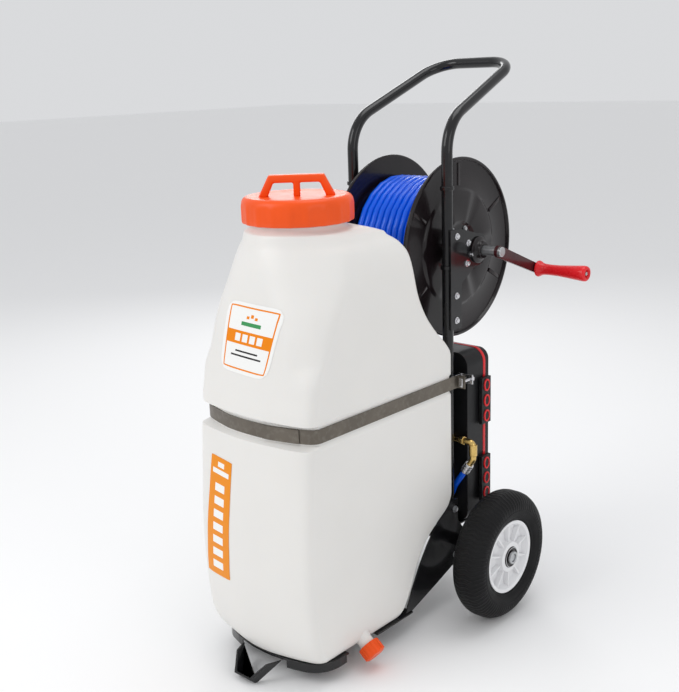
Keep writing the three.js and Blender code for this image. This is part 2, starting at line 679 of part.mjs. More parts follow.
/** Brackets from the posts to the bearings, bearing housings and the inlet swivel. */
function addReelBrackets() {
  const { y, z, shaftR } = REEL;
  const profile = new THREE.Shape();
  profile.moveTo(-10, 600);
  profile.lineTo(26, 600);
  profile.lineTo(26, 690);
  profile.lineTo(y - 10, z - 32);
  profile.absarc(y, z, 33, -108 * DEG, 90 * DEG);
  profile.lineTo(20, z + 50);
  profile.lineTo(-10, z + 50);
  const hole = rod('x', [BRACKET_X - 1, y, z], BRACKET_T + 2, shaftR + 1, 18);
  const plate = shapeSolid(slabX(profile, BRACKET_X, BRACKET_X + BRACKET_T), [], [hole]);
  const outer = BRACKET_X + BRACKET_T + GAP;
  const housing = turnedX([
    [outer, shaftR + GAP], [outer, 27], [outer + 4, 27], [outer + 6, 19], [outer + 15, 17],
    [outer + 15, shaftR + GAP], [outer, shaftR + GAP],
  ], 24).translate(0, y, z);
  for (const [name, side] of SIDES) {
    add(`reel_bracket_${name}`, toSide(plate, side), FINISH.blackPaint);
    add(`reel_bearing_${name}`, toSide(housing, side), FINISH.blackSteel);
  }
  const inlet = outer + 16 + GAP;
  const swivel = shapeSolid(
    rod('x', [inlet, y, z], 22, 12, 6),
    [rod('z', [inlet + 14, y, z - 34], 34, 8, 12)],
    [rod('x', [inlet - 1, y, z], 8, shaftR + GAP, 18)],
  );
  add('swivel_inlet', toSide(swivel, -1), FINISH.brass);
}

/** Turns a piece about the reel axis to the crank's parked angle. */
function atCrank(geometry) {
  return geometry.rotateX(-CRANK.drop * DEG).translate(0, REEL.y, REEL.z);
}

/** Crank: flat arm on the shaft's end, pin and freely turning grip. */
function addCrank() {
  const { x, arm, wide, thick, grip, gripR } = CRANK;
  const bar = new THREE.Shape();
  bar.absarc(0, 0, wide / 2, 90 * DEG, 270 * DEG);
  bar.lineTo(arm, -wide / 2 + 2);
  bar.absarc(arm, 0, wide / 2 - 2, -90 * DEG, 90 * DEG);
  const shaftHole = rod('x', [x - 1, 0, 0], thick + 2, REEL.shaftR + GAP, 18);
  add('crank_arm', atCrank(shapeSolid(slabX(bar, x, x + thick, 8), [], [shaftHole])), FINISH.blackSteel);

  const start = x + thick + GAP;
  const end = start + grip;
  add('crank_pin', atCrank(rod('x', [start, arm, 0], grip - 2, 4, 12)), FINISH.zinc);
  const bore = 4 + GAP;
  add('crank_grip', atCrank(turnedX([
    [start + 1, bore], [start + 1, gripR + 2], [start + 7, gripR + 1], [start + 16, gripR - 3],
    [start + 45, gripR - 4], [end - 30, gripR - 0.5], [end - 8, gripR + 1], [end, gripR - 1],
    [end, gripR - 5], [end - 12, bore], [start + 1, bore],
  ], 20).translate(0, arm, 0)), FINISH.redPlastic);
}

// ---------------------------------------------------------------- power case
/** Outline of the case seen from behind, shrunk by an inset. */
function caseOutline(inset) {
  return roundedRect(-CASE.half + inset, CASE.half - inset, CASE.bottom + inset, CASE.top - inset,
    CASE.corner - inset);
}

/** Power case behind the posts, with the battery, pump and switch in it. */
function addCase() {
  const { half, front, seam, bandEnd, back, bottom, top, wall } = CASE;
  const shelfZ = bottom - 0.8 - GAP;
  add('case_shelf', shapeSolid(
    boxBetween(-128, 128, 13, back - 8, shelfZ - 3, shelfZ),
    [boxBetween(-128, 128, 13, 16, shelfZ - 3, shelfZ + 12)],
  ), FINISH.blackPaint);

  const grooves = [];
  for (let i = -3; i <= 3; i += 1) {
    grooves.push(boxBetween(i * 34 - 4, i * 34 + 4, front - 1, front + 1.2, bottom + 50, top - 50));
  }
  add('case_body', shapeSolid(slabY(caseOutline(0), front, seam), [],
    [slabY(caseOutline(wall), front + wall, seam + 1), ...grooves]), FINISH.blackPlastic);
  add('case_band', shapeSolid(slabY(caseOutline(-0.8), seam + GAP, bandEnd), [],
    [slabY(caseOutline(wall), seam - 1, bandEnd + 1)]), FINISH.redPlastic);
  add('case_lid', shapeSolid(slabY(caseOutline(5), bandEnd + GAP, back), [],
    [slabY(caseOutline(5 + wall), bandEnd - 1, back - wall)]), FINISH.blackPlastic);

  for (const [name, z0] of [['lower', LATCH.lowZ], ['upper', LATCH.highZ]]) {
    const x0 = half + 2.2;
    const cover = boxBetween(x0, x0 + LATCH.thick, bandEnd - LATCH.deep, bandEnd + 6, z0, z0 + LATCH.height);
    const pitch = LATCH.height / 3;
    const ribs = [0, 1, 2].map((i) => boxBetween(x0 + LATCH.thick - 0.5, x0 + LATCH.thick + 1.5,
      bandEnd - 18, bandEnd + 2, z0 + (i + 0.25) * pitch, z0 + (i + 0.75) * pitch));
    const lug = boxBetween(half - 4.4, x0 + 1, bandEnd + 2.6, bandEnd + 6, z0 + 20, z0 + LATCH.height - 20);
    add(`latch_${name}`, shapeSolid(cover, [...ribs, lug]), FINISH.blackPlastic);
  }

  const floor = bottom + wall + GAP;
  add('battery', boxBetween(-112, 10, front + wall + GAP, seam - 4, floor, floor + 96), FINISH.greyPlastic);
  add('pump_motor', rod('z', [72, 62, floor + 100], 95, 21, 20), FINISH.motorSteel);
  add('pump_head', boxBetween(42, 104, 40, 86, floor + 30, floor + 100 - GAP), FINISH.blackPlastic);
  const rocker = outline([[-70, top + 2.2], [-57, top + GAP], [-44, top + 2.2], [-44, top + 8],
    [-57, top + 6], [-70, top + 8]]);
  add('power_switch', slabY(rocker, 66, 80), FINISH.redPlastic);
}

/** A point on the line that the tilted hose end follows below the elbow. */
function alongHoseEnd(distance) {
  const a = OUTLET.tilt * DEG;
  return [OUTLET.elbowX - distance * Math.sin(a), OUTLET.y, OUTLET.bendZ - distance * Math.cos(a)];
}

/** Pressure outlet: brass pipe from the case, swivel nut, elbow and crimp ferrule. */
function addOutlet() {
  const { x, y, z, nutX, elbowX, bendZ } = OUTLET;
  const pipe = filletedRoute([[x, CASE.front - GAP, z], [x, y, z, 6], [nutX - GAP, y, z]], 22);
  add('outlet_pipe', roundAlong(pipe, 6, 12), FINISH.brass);
  add('outlet_nut', rod('x', [nutX, y, z], 10, 9.5, 6), FINISH.brass);
  const elbow = filletedRoute(
    [[nutX + 10 + GAP, y, z], [elbowX, y, z, 9], [elbowX, y, bendZ, 12], alongHoseEnd(14)], 18);
  add('outlet_elbow', shapeSolid(roundAlong(elbow, 6.5, 14), [rod('z', [elbowX, y, bendZ + 8], 24, 8.5, 6)]),
    FINISH.brass);
  add('hose_ferrule', rodBetween(alongHoseEnd(14 + GAP), alongHoseEnd(38), 9), FINISH.chrome);
}

/** Fixed hoses: pressure hose from the ferrule to the reel swivel, suction hose from the tank. */
function addHoses() {
  const swivelX = -(BRACKET_X + BRACKET_T + GAP + 16 + GAP + 14);
  const supply = filletedRoute([
    alongHoseEnd(38 + GAP),
    [...alongHoseEnd(84), 60],
    [OUTLET.elbowX - 66, 23, 206, 60],
    [0, 24, 202, 200],
    [-178, 22, 232, 60],
    [-176, 26, 480, 90],
    [swivelX, REEL.y, 600, 90],
    [swivelX, REEL.y, REEL.z - 34 - GAP],
  ], 14);
  add('supply_hose', roundAlong(supply, 6.5, 10), FINISH.hoseBlue);

  const { x, y, z, end } = TANK_OUTLET;
  const suction = filletedRoute([
    [x, end + GAP, z], [x, -2, z, 56], [x, -2, 252, 28], [x, CASE.front - GAP, 252],
  ], 14);
  add('suction_hose', roundAlong(suction, 7, 10), FINISH.clearHose);
  add('tank_outlet', shapeSolid(rod('y', [x, y, z], end - y, 6, 14), [
    rod('y', [x, end - 26, z], 8, 11, 6),
  ]), FINISH.blackPlastic);
}

// ---------------------------------------------------------------- wheels
/** Wheels: tyre, moulded rim, bearing and axle cap on each side. */
function addWheels() {
  const half = TYRE_W / 2;
  const crown = WHEEL_R;
  const tyre = turnedX([
    [-RIM_W / 2 + 4, RIM_R + GAP], [-half + 5, RIM_R + 9], [-half, RIM_R + 26], [-half + 5, crown - 16],
    [-half + 15, crown - 4], [-8, crown], [8, crown], [half - 15, crown - 4], [half - 5, crown - 16],
    [half, RIM_R + 26], [half - 5, RIM_R + 9], [RIM_W / 2 - 4, RIM_R + GAP],
    [-RIM_W / 2 + 4, RIM_R + GAP],
  ], 34);
  const w = RIM_W / 2;
  const hub = BEARING_R + GAP;
  const rim = turnedX([
    [-w, hub], [-w, hub + 9], [-w + 14, hub + 13], [-w + 16, RIM_R - 14], [-w + 2, RIM_R - 5],
    [-w + 2, RIM_R], [w - 2, RIM_R], [w - 2, RIM_R - 5], [w - 16, RIM_R - 14], [w - 14, hub + 13],
    [w, hub + 9], [w, hub], [-w, hub],
  ], 30);
  const pockets = [];
  for (let i = 0; i < 6; i += 1) {
    const a = (i * 60 + 30) * DEG;
    pockets.push(boxBetween(w - 20, w + 1, -7, 7, RIM_R - 36, RIM_R - 14).rotateX(a));
  }
  const bearing = turnedX([
    [-w - 2, AXLE_R + GAP], [-w - 2, BEARING_R], [w + 2, BEARING_R],
    [w + 2, AXLE_R + GAP], [-w - 2, AXLE_R + GAP],
  ], 24);
  const spacerStart = PLATE_X + PLATE_T + GAP;
  const spacer = shapeSolid(
    rod('x', [spacerStart, AXLE_Y, WHEEL_R], WHEEL_X - w - 2 - GAP - spacerStart, AXLE_R + 5, 18), [],
    [rod('x', [spacerStart - 1, AXLE_Y, WHEEL_R], WHEEL_X, AXLE_R + GAP, 18)]);
  const nutX = w + 2 + GAP;
  const nut = turnedX([
    [nutX, AXLE_R + GAP], [nutX, 14], [nutX + 5, 13], [nutX + 5, AXLE_R + GAP], [nutX, AXLE_R + GAP],
  ], 20);
  for (const [name, side] of SIDES) {
    const place = (geometry) => toSide(geometry.clone().translate(WHEEL_X, AXLE_Y, WHEEL_R), side);
    add(`tyre_${name}`, place(tyre), FINISH.rubber);
    add(`rim_${name}`, place(shapeSolid(rim, [], pockets)), FINISH.whitePlastic);
    add(`bearing_${name}`, place(bearing), FINISH.blackSteel);
    add(`axle_washer_${name}`, place(nut), FINISH.zinc);
    add(`axle_spacer_${name}`, toSide(spacer, side), FINISH.blackSteel);
  }
}

addHandle();
addUndercarriage();
addTank();
addFiller();
addDrain();
addStrap();
addReel();
addCase();
addOutlet();
addHoses();
addWheels();

/** Puts the origin on the ground under the middle of the cart's bounding box. */
const extent = new THREE.Box3().setFromObject(cart, true);
cart.position.set(-(extent.min.x + extent.max.x) / 2, -(extent.min.y + extent.max.y) / 2, -extent.min.z);

export default cart;
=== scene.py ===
"""Looks of the wheeled sprayer cart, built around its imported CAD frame.

The cart's own coordinates are millimetres with +Z up, -Y towards the front of the tank and +X
towards the crank. A Datum turns them into the row frame in metres. Each sub-assembly is a class
that holds its driving sizes as fields and has methods that build its pieces and dress them.
"""

import logging
import math
from dataclasses import dataclass, field
from enum import Enum
from typing import Iterable, Optional, Sequence

import bmesh
import bpy
from bmesh.types import BMesh, BMEdge, BMVert
from mathutils import Matrix, Vector
from mathutils.bvhtree import BVHTree

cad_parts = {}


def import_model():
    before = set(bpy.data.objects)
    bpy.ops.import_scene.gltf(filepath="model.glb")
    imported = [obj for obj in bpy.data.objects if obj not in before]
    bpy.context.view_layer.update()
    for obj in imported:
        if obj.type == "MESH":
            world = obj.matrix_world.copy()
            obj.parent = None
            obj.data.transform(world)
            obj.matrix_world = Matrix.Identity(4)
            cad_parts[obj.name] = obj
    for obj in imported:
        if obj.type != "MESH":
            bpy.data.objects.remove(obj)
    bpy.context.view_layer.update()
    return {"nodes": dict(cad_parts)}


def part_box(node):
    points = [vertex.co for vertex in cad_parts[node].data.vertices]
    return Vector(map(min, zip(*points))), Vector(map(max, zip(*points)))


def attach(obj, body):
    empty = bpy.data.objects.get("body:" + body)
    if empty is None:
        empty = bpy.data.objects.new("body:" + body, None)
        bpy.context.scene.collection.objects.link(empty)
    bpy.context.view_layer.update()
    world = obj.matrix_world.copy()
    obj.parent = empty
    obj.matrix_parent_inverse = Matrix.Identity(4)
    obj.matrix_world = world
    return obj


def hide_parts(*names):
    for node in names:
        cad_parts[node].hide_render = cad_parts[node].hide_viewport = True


LOG = logging.getLogger("sprayer_cart")

MM = 0.001
GAP = 0.35
FULL_TURN = 2 * math.pi
Point = Sequence[float]


# ---------------------------------------------------------------- finishes
class Grain(Enum):
    """How the fine relief of a finish runs."""

    EVEN = "even"
    BRUSHED = "brushed"


@dataclass(frozen=True)
class Finish:
    """A procedural surface finish.

    The colour varies with a broad noise, the roughness with a middle one, and the relief with a
    fine one. Wear shows on convex edges, in patches.
    """

    name: str
    slot: str
    color: tuple[float, float, float]
    roughness: float
    metallic: float = 0.0
    coat: float = 0.0
    specular: float = 0.5
    subsurface: float = 0.0
    variation: float = 0.06
    spot_size: float = 60.0
    relief: float = 0.15
    relief_size: float = 1.2
    relief_depth: float = 0.25
    wear: float = 0.0
    wear_color: tuple[float, float, float] = (0.5, 0.5, 0.5)
    grain: Grain = Grain.EVEN

    def build(self) -> bpy.types.Material:
        """Makes the material, or returns the one already made.

        Returns:
            The Blender material of this finish.
        """
        label = f"{self.name}_finish"
        made = bpy.data.materials.get(label)
        if made:
            return made
        material = bpy.data.materials.new(label)
        material.use_nodes = True
        tree = material.node_tree
        shader = tree.nodes["Principled BSDF"]
        shader.inputs["Metallic"].default_value = self.metallic
        shader.inputs["Specular IOR Level"].default_value = self.specular
        shader.inputs["Coat Weight"].default_value = self.coat
        shader.inputs["Coat Roughness"].default_value = 0.08
        shader.inputs["Subsurface Weight"].default_value = self.subsurface
        shader.inputs["Subsurface Radius"].default_value = (0.02, 0.017, 0.014)
        where = tree.nodes.new("ShaderNodeTexCoord").outputs["Object"]
        color = self._color(tree, where)
        tree.links.new(color, shader.inputs["Base Color"])
        rough = self._noise(tree, where, self.spot_size * 0.4, 3.0)
        spread = tree.nodes.new("ShaderNodeMapRange")
        spread.inputs["To Min"].default_value = max(0.02, self.roughness * 0.8)
        spread.inputs["To Max"].default_value = min(1.0, self.roughness * 1.25)
        tree.links.new(rough, spread.inputs["Value"])
        tree.links.new(spread.outputs["Result"], shader.inputs["Roughness"])
        bump = tree.nodes.new("ShaderNodeBump")
        bump.inputs["Strength"].default_value = self.relief
        bump.inputs["Distance"].default_value = self.relief_depth * MM
        tree.links.new(self._relief(tree, where), bump.inputs["Height"])
        tree.links.new(bump.outputs["Normal"], shader.inputs["Normal"])
        return material

    def _noise(self, tree: bpy.types.NodeTree, where: bpy.types.NodeSocket, size: float,
               detail: float) -> bpy.types.NodeSocket:
        """Adds a noise whose features are about size millimetres across.

        Args:
            tree: node tree of the material.
            where: coordinates in metres.
            size: feature size in millimetres.
            detail: octaves.

        Returns:
            The noise value socket.
        """
        noise = tree.nodes.new("ShaderNodeTexNoise")
        noise.inputs["Scale"].default_value = 1.0 / (size * MM)
        noise.inputs["Detail"].default_value = detail
        tree.links.new(where, noise.inputs["Vector"])
        return noise.outputs["Fac"]

    def _color(self, tree: bpy.types.NodeTree, where: bpy.types.NodeSocket) -> bpy.types.NodeSocket:
        """Base colour with broad variation and worn edges.

        Args:
            tree: node tree of the material.
            where: coordinates in metres.

        Returns:
            The colour socket.
        """
        ramp = tree.nodes.new("ShaderNodeValToRGB")
        dark = tuple(c * (1 - self.variation) for c in self.color)
        light = tuple(min(1.0, c * (1 + self.variation)) for c in self.color)
        ramp.color_ramp.elements[0].position = 0.3
        ramp.color_ramp.elements[0].color = (*dark, 1)
        ramp.color_ramp.elements[1].position = 0.7
        ramp.color_ramp.elements[1].color = (*light, 1)
        tree.links.new(self._noise(tree, where, self.spot_size, 4.0), ramp.inputs["Fac"])
        if self.wear <= 0:
            return ramp.outputs["Color"]
        edge = tree.nodes.new("ShaderNodeNewGeometry")
        sharp = tree.nodes.new("ShaderNodeMapRange")
        sharp.inputs["From Min"].default_value = 0.53
        sharp.inputs["From Max"].default_value = 0.62
        tree.links.new(edge.outputs["Pointiness"], sharp.inputs["Value"])
        patch = tree.nodes.new("ShaderNodeMapRange")
        patch.inputs["From Min"].default_value = 0.48
        patch.inputs["From Max"].default_value = 0.7
        patch.inputs["To Max"].default_value = self.wear
        tree.links.new(self._noise(tree, where, 9.0, 6.0), patch.inputs["Value"])
        both = tree.nodes.new("ShaderNodeMath")
        both.operation = "MULTIPLY"
        tree.links.new(sharp.outputs["Result"], both.inputs[0])
        tree.links.new(patch.outputs["Result"], both.inputs[1])
        mix = tree.nodes.new("ShaderNodeMix")
        mix.data_type = "RGBA"
        mix.inputs["B"].default_value = (*self.wear_color, 1)
        tree.links.new(both.outputs["Value"], mix.inputs["Factor"])
        tree.links.new(ramp.outputs["Color"], mix.inputs["A"])
        return mix.outputs["Result"]

    def _relief(self, tree: bpy.types.NodeTree, where: bpy.types.NodeSocket) -> bpy.types.NodeSocket:
        """Fine height pattern of the finish.

        Args:
            tree: node tree of the material.
            where: coordinates in metres.

        Returns:
            The height socket.
        """
        if self.grain is Grain.BRUSHED:
            squeeze = tree.nodes.new("ShaderNodeMapping")
            squeeze.inputs["Scale"].default_value = (0.06, 0.06, 1.0)
            tree.links.new(where, squeeze.inputs["Vector"])
            where = squeeze.outputs["Vector"]
        return self._noise(tree, where, self.relief_size, 3.0)


@dataclass(frozen=True)
class Treaded(Finish):
    """Tyre rubber with fine wavy grooves across the tread and plain shoulders."""

    centre: tuple[float, float, float] = (0.0, 0.0, 0.0)
    grooves: int = 110
    tread_radius: float = 100.0

    def _relief(self, tree: bpy.types.NodeTree, where: bpy.types.NodeSocket) -> bpy.types.NodeSocket:
        """Groove height round the wheel, faded out below the shoulder.

        Args:
            tree: node tree of the material.
            where: coordinates in metres.

        Returns:
            The height socket.
        """
        def math_node(operation: str, a: object, b: object = None) -> bpy.types.NodeSocket:
            """One Math node fed by sockets or numbers."""
            node = tree.nodes.new("ShaderNodeMath")
            node.operation = operation
            for socket, value in zip(node.inputs, (a, b)):
                if isinstance(value, (int, float)):
                    socket.default_value = value
                elif value is not None:
                    tree.links.new(value, socket)
            return node.outputs["Value"]

        split = tree.nodes.new("ShaderNodeSeparateXYZ")
        tree.links.new(where, split.inputs["Vector"])
        x = math_node("SUBTRACT", split.outputs["X"], self.centre[0])
        y = math_node("SUBTRACT", split.outputs["Y"], self.centre[1])
        z = math_node("SUBTRACT", split.outputs["Z"], self.centre[2])
        turn = math_node("ARCTAN2", z, y)
        sway = math_node("MULTIPLY", math_node("SINE", math_node("MULTIPLY", x, 230.0)), 1.1)
        wave = math_node("SINE", math_node("ADD", math_node("MULTIPLY", turn, float(self.grooves)), sway))
        groove = math_node("POWER", math_node("MAXIMUM", wave, 0.0), 0.5)
        radius = math_node("SQRT", math_node("ADD", math_node("MULTIPLY", y, y), math_node("MULTIPLY", z, z)))
        shoulder = tree.nodes.new("ShaderNodeMapRange")
        shoulder.inputs["From Min"].default_value = self.tread_radius * MM
        shoulder.inputs["From Max"].default_value = (self.tread_radius + 5) * MM
        tree.links.new(radius, shoulder.inputs["Value"])
        tread = math_node("MULTIPLY", groove, shoulder.outputs["Result"])
        rough = math_node("MULTIPLY", self._noise(tree, where, self.relief_size, 3.0), 0.15)
        return math_node("ADD", tread, rough)


@dataclass(frozen=True)
class Block:
    """A printed rectangle on a sticker, in shares of its width and height."""

    left: float
    right: float
    low: float
    high: float
    color: tuple[float, float, float]


@dataclass(frozen=True)
class Printed(Finish):
    """A sticker whose print is laid over a plain ground as rectangles on its own map."""

    blocks: tuple[Block, ...] = ()

    def _color(self, tree: bpy.types.NodeTree, where: bpy.types.NodeSocket) -> bpy.types.NodeSocket:
        """Ground colour with each printed rectangle over it.

        Args:
            tree: node tree of the material.
            where: coordinates in metres, unused by the print.

        Returns:
            The colour socket.
        """
        chart = tree.nodes.new("ShaderNodeUVMap")
        chart.uv_map = "print"
        split = tree.nodes.new("ShaderNodeSeparateXYZ")
        tree.links.new(chart.outputs["UV"], split.inputs["Vector"])
        color = super()._color(tree, where)
        for patch in self.blocks:
            inside = None
            for axis, low, high in (("X", patch.left, patch.right), ("Y", patch.low, patch.high)):
                near = tree.nodes.new("ShaderNodeMath")
                near.operation = "COMPARE"
                near.inputs[1].default_value = (low + high) / 2
                near.inputs[2].default_value = (high - low) / 2
                tree.links.new(split.outputs[axis], near.inputs[0])
                if inside is None:
                    inside = near.outputs["Value"]
                    continue
                both = tree.nodes.new("ShaderNodeMath")
                both.operation = "MULTIPLY"
                tree.links.new(inside, both.inputs[0])
                tree.links.new(near.outputs["Value"], both.inputs[1])
                inside = both.outputs["Value"]
            mix = tree.nodes.new("ShaderNodeMix")
            mix.data_type = "RGBA"
            mix.inputs["B"].default_value = (*patch.color, 1)
            tree.links.new(inside, mix.inputs["Factor"])
            tree.links.new(color, mix.inputs["A"])
            color = mix.outputs["Result"]
        return color


INK_WHITE = (0.9, 0.9, 0.88)
INK_ORANGE = (0.86, 0.24, 0.0)
INK_GREEN = (0.05, 0.3, 0.1)
INK_DARK = (0.02, 0.02, 0.02)
PANEL_PRINT = Printed("nose_label_print", "tank_plastic", INK_WHITE, 0.35, specular=0.2,
                      variation=0.01, blocks=(
    Block(0.06, 0.94, 0.05, 0.95, INK_ORANGE),
    Block(0.085, 0.915, 0.072, 0.928, INK_WHITE),
    Block(0.085, 0.915, 0.41, 0.6, INK_ORANGE),
    Block(0.24, 0.34, 0.45, 0.56, INK_WHITE),
    Block(0.38, 0.48, 0.45, 0.56, INK_WHITE),
    Block(0.52, 0.62, 0.45, 0.56, INK_WHITE),
    Block(0.66, 0.76, 0.45, 0.56, INK_WHITE),
    Block(0.28, 0.72, 0.3, 0.325, INK_DARK),
    Block(0.2, 0.8, 0.235, 0.26, INK_DARK),
    Block(0.32, 0.68, 0.68, 0.735, INK_GREEN),
    Block(0.4, 0.45, 0.78, 0.82, INK_ORANGE),
    Block(0.475, 0.525, 0.8, 0.85, INK_ORANGE),
    Block(0.55, 0.6, 0.78, 0.82, INK_ORANGE),
))
STRIP_PRINT = Printed("side_label_print", "orange_plastic", (0.85, 0.27, 0.0), 0.35, specular=0.2,
                      variation=0.01, blocks=tuple(
    [Block(0.12, 0.88, 0.86, 0.9, INK_WHITE), Block(0.35, 0.65, 0.92, 0.96, INK_WHITE)]
    + [Block(0.28, 0.72, 0.06 + 0.11 * k, 0.125 + 0.11 * k, INK_WHITE) for k in range(7)]
))
ARM_PAINT = Finish("crank_arm_paint", "reel_paint", (0.045, 0.006, 0.008), 0.28, coat=0.3,
                   specular=0.3, variation=0.3, relief=0.15, wear=0.3, wear_color=(0.2, 0.18, 0.17))
BLACK_PAINT = Finish("gloss_black_paint", "frame_paint", (0.007, 0.007, 0.008), 0.18, coat=0.3, specular=0.3,
                     relief=0.12, relief_size=1.6, wear=0.25, wear_color=(0.1, 0.09, 0.08))
REEL_ENAMEL = Finish("reel_enamel", "reel_paint", (0.009, 0.006, 0.007), 0.22, coat=0.25, specular=0.25,
                     variation=0.25, relief=0.18, relief_size=2.2, wear=0.35, wear_color=(0.12, 0.05, 0.05))
TANK_PLASTIC = Finish("tank_polyethylene", "tank_plastic", (0.8, 0.785, 0.755), 0.36, specular=0.45,
                      subsurface=0.1, variation=0.012, spot_size=140.0, relief=0.1,
                      relief_size=2.4, relief_depth=0.3)
ORANGE_PLASTIC = Finish("orange_plastic", "orange_plastic", (0.88, 0.09, 0.006), 0.36, specular=0.3,
                        variation=0.05, relief=0.15)
TYRE_SPOTS = dict(specular=0.16, variation=0.2, relief=1.0, relief_depth=2.2, relief_size=1.4,
                  grooves=84)
SEAL_RUBBER = Finish("seal_rubber", "seal_rubber", (0.02, 0.02, 0.02), 0.7, relief=0.3)
RIM_PLASTIC = Finish("white_rim_plastic", "rim_plastic", (0.82, 0.82, 0.83), 0.32, coat=0.2,
                     variation=0.02, relief=0.12, relief_size=3.0)
STRAP_STEEL = Finish("strap_steel", "strap_steel", (0.14, 0.122, 0.1), 0.38, metallic=0.65,
                     variation=0.12, relief=0.4, relief_size=0.8, grain=Grain.BRUSHED, wear=0.15,
                     wear_color=(0.4, 0.38, 0.34))
BRIGHT_STEEL = Finish("bright_plated_steel", "bright_steel", (0.72, 0.72, 0.74), 0.16, metallic=1.0,
                      variation=0.05, relief=0.1)
ZINC_STEEL = Finish("zinc_plated_steel", "zinc_steel", (0.5, 0.51, 0.52), 0.3, metallic=0.95,
                    variation=0.1, spot_size=6.0, relief=0.15)
HOSE_BLUE = Finish("blue_hose", "hose_blue", (0.0, 0.1, 0.74), 0.18, coat=0.2, specular=0.3, variation=0.05,
                   relief=0.2, relief_size=1.0)
HOSE_BLACK = Finish("black_suction_hose", "hose_black", (0.02, 0.02, 0.022), 0.35, relief=0.3)
RED_PLASTIC = Finish("red_gloss_plastic", "red_plastic", (0.72, 0.01, 0.016), 0.28, coat=0.1, specular=0.35,
                     variation=0.05, relief=0.15)
CASE_PLASTIC = Finish("black_case_plastic", "case_plastic", (0.008, 0.008, 0.009), 0.38, specular=0.25,
                      variation=0.15, relief=0.55, relief_size=0.9, wear=0.2, wear_color=(0.08, 0.08, 0.08))
GREY_PLASTIC = Finish("dark_grey_plastic", "grey_plastic", (0.07, 0.075, 0.08), 0.5, relief=0.4)
BRASS = Finish("machined_brass", "brass", (0.68, 0.47, 0.16), 0.24, metallic=1.0, variation=0.12,
               spot_size=12.0, relief=0.12, wear=0.3, wear_color=(0.9, 0.75, 0.4))
MOTOR_STEEL = Finish("motor_steel", "motor_steel", (0.3, 0.31, 0.33), 0.3, metallic=0.9, relief=0.2,
                     grain=Grain.BRUSHED)


# ---------------------------------------------------------------- places and shapes
@dataclass(frozen=True)
class Datum:
    """Where the cart's own coordinates lie in the row frame."""

    shift: Vector

    @classmethod
    def from_frame(cls, axle_y: float) -> "Datum":
        """Reads the shift off the axle, which is drawn across x = 0.

        Args:
            axle_y: the axle's y in cart millimetres.

        Returns:
            The datum.
        """
        low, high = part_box("axle")
        middle = (low + high) / 2
        return cls(Vector((middle.x, middle.y - axle_y * MM, 0.0)))

    def at(self, x: float, y: float, z: float) -> Vector:
        """A cart point in the row frame, in metres."""
        return Vector((x, y, z)) * MM + self.shift


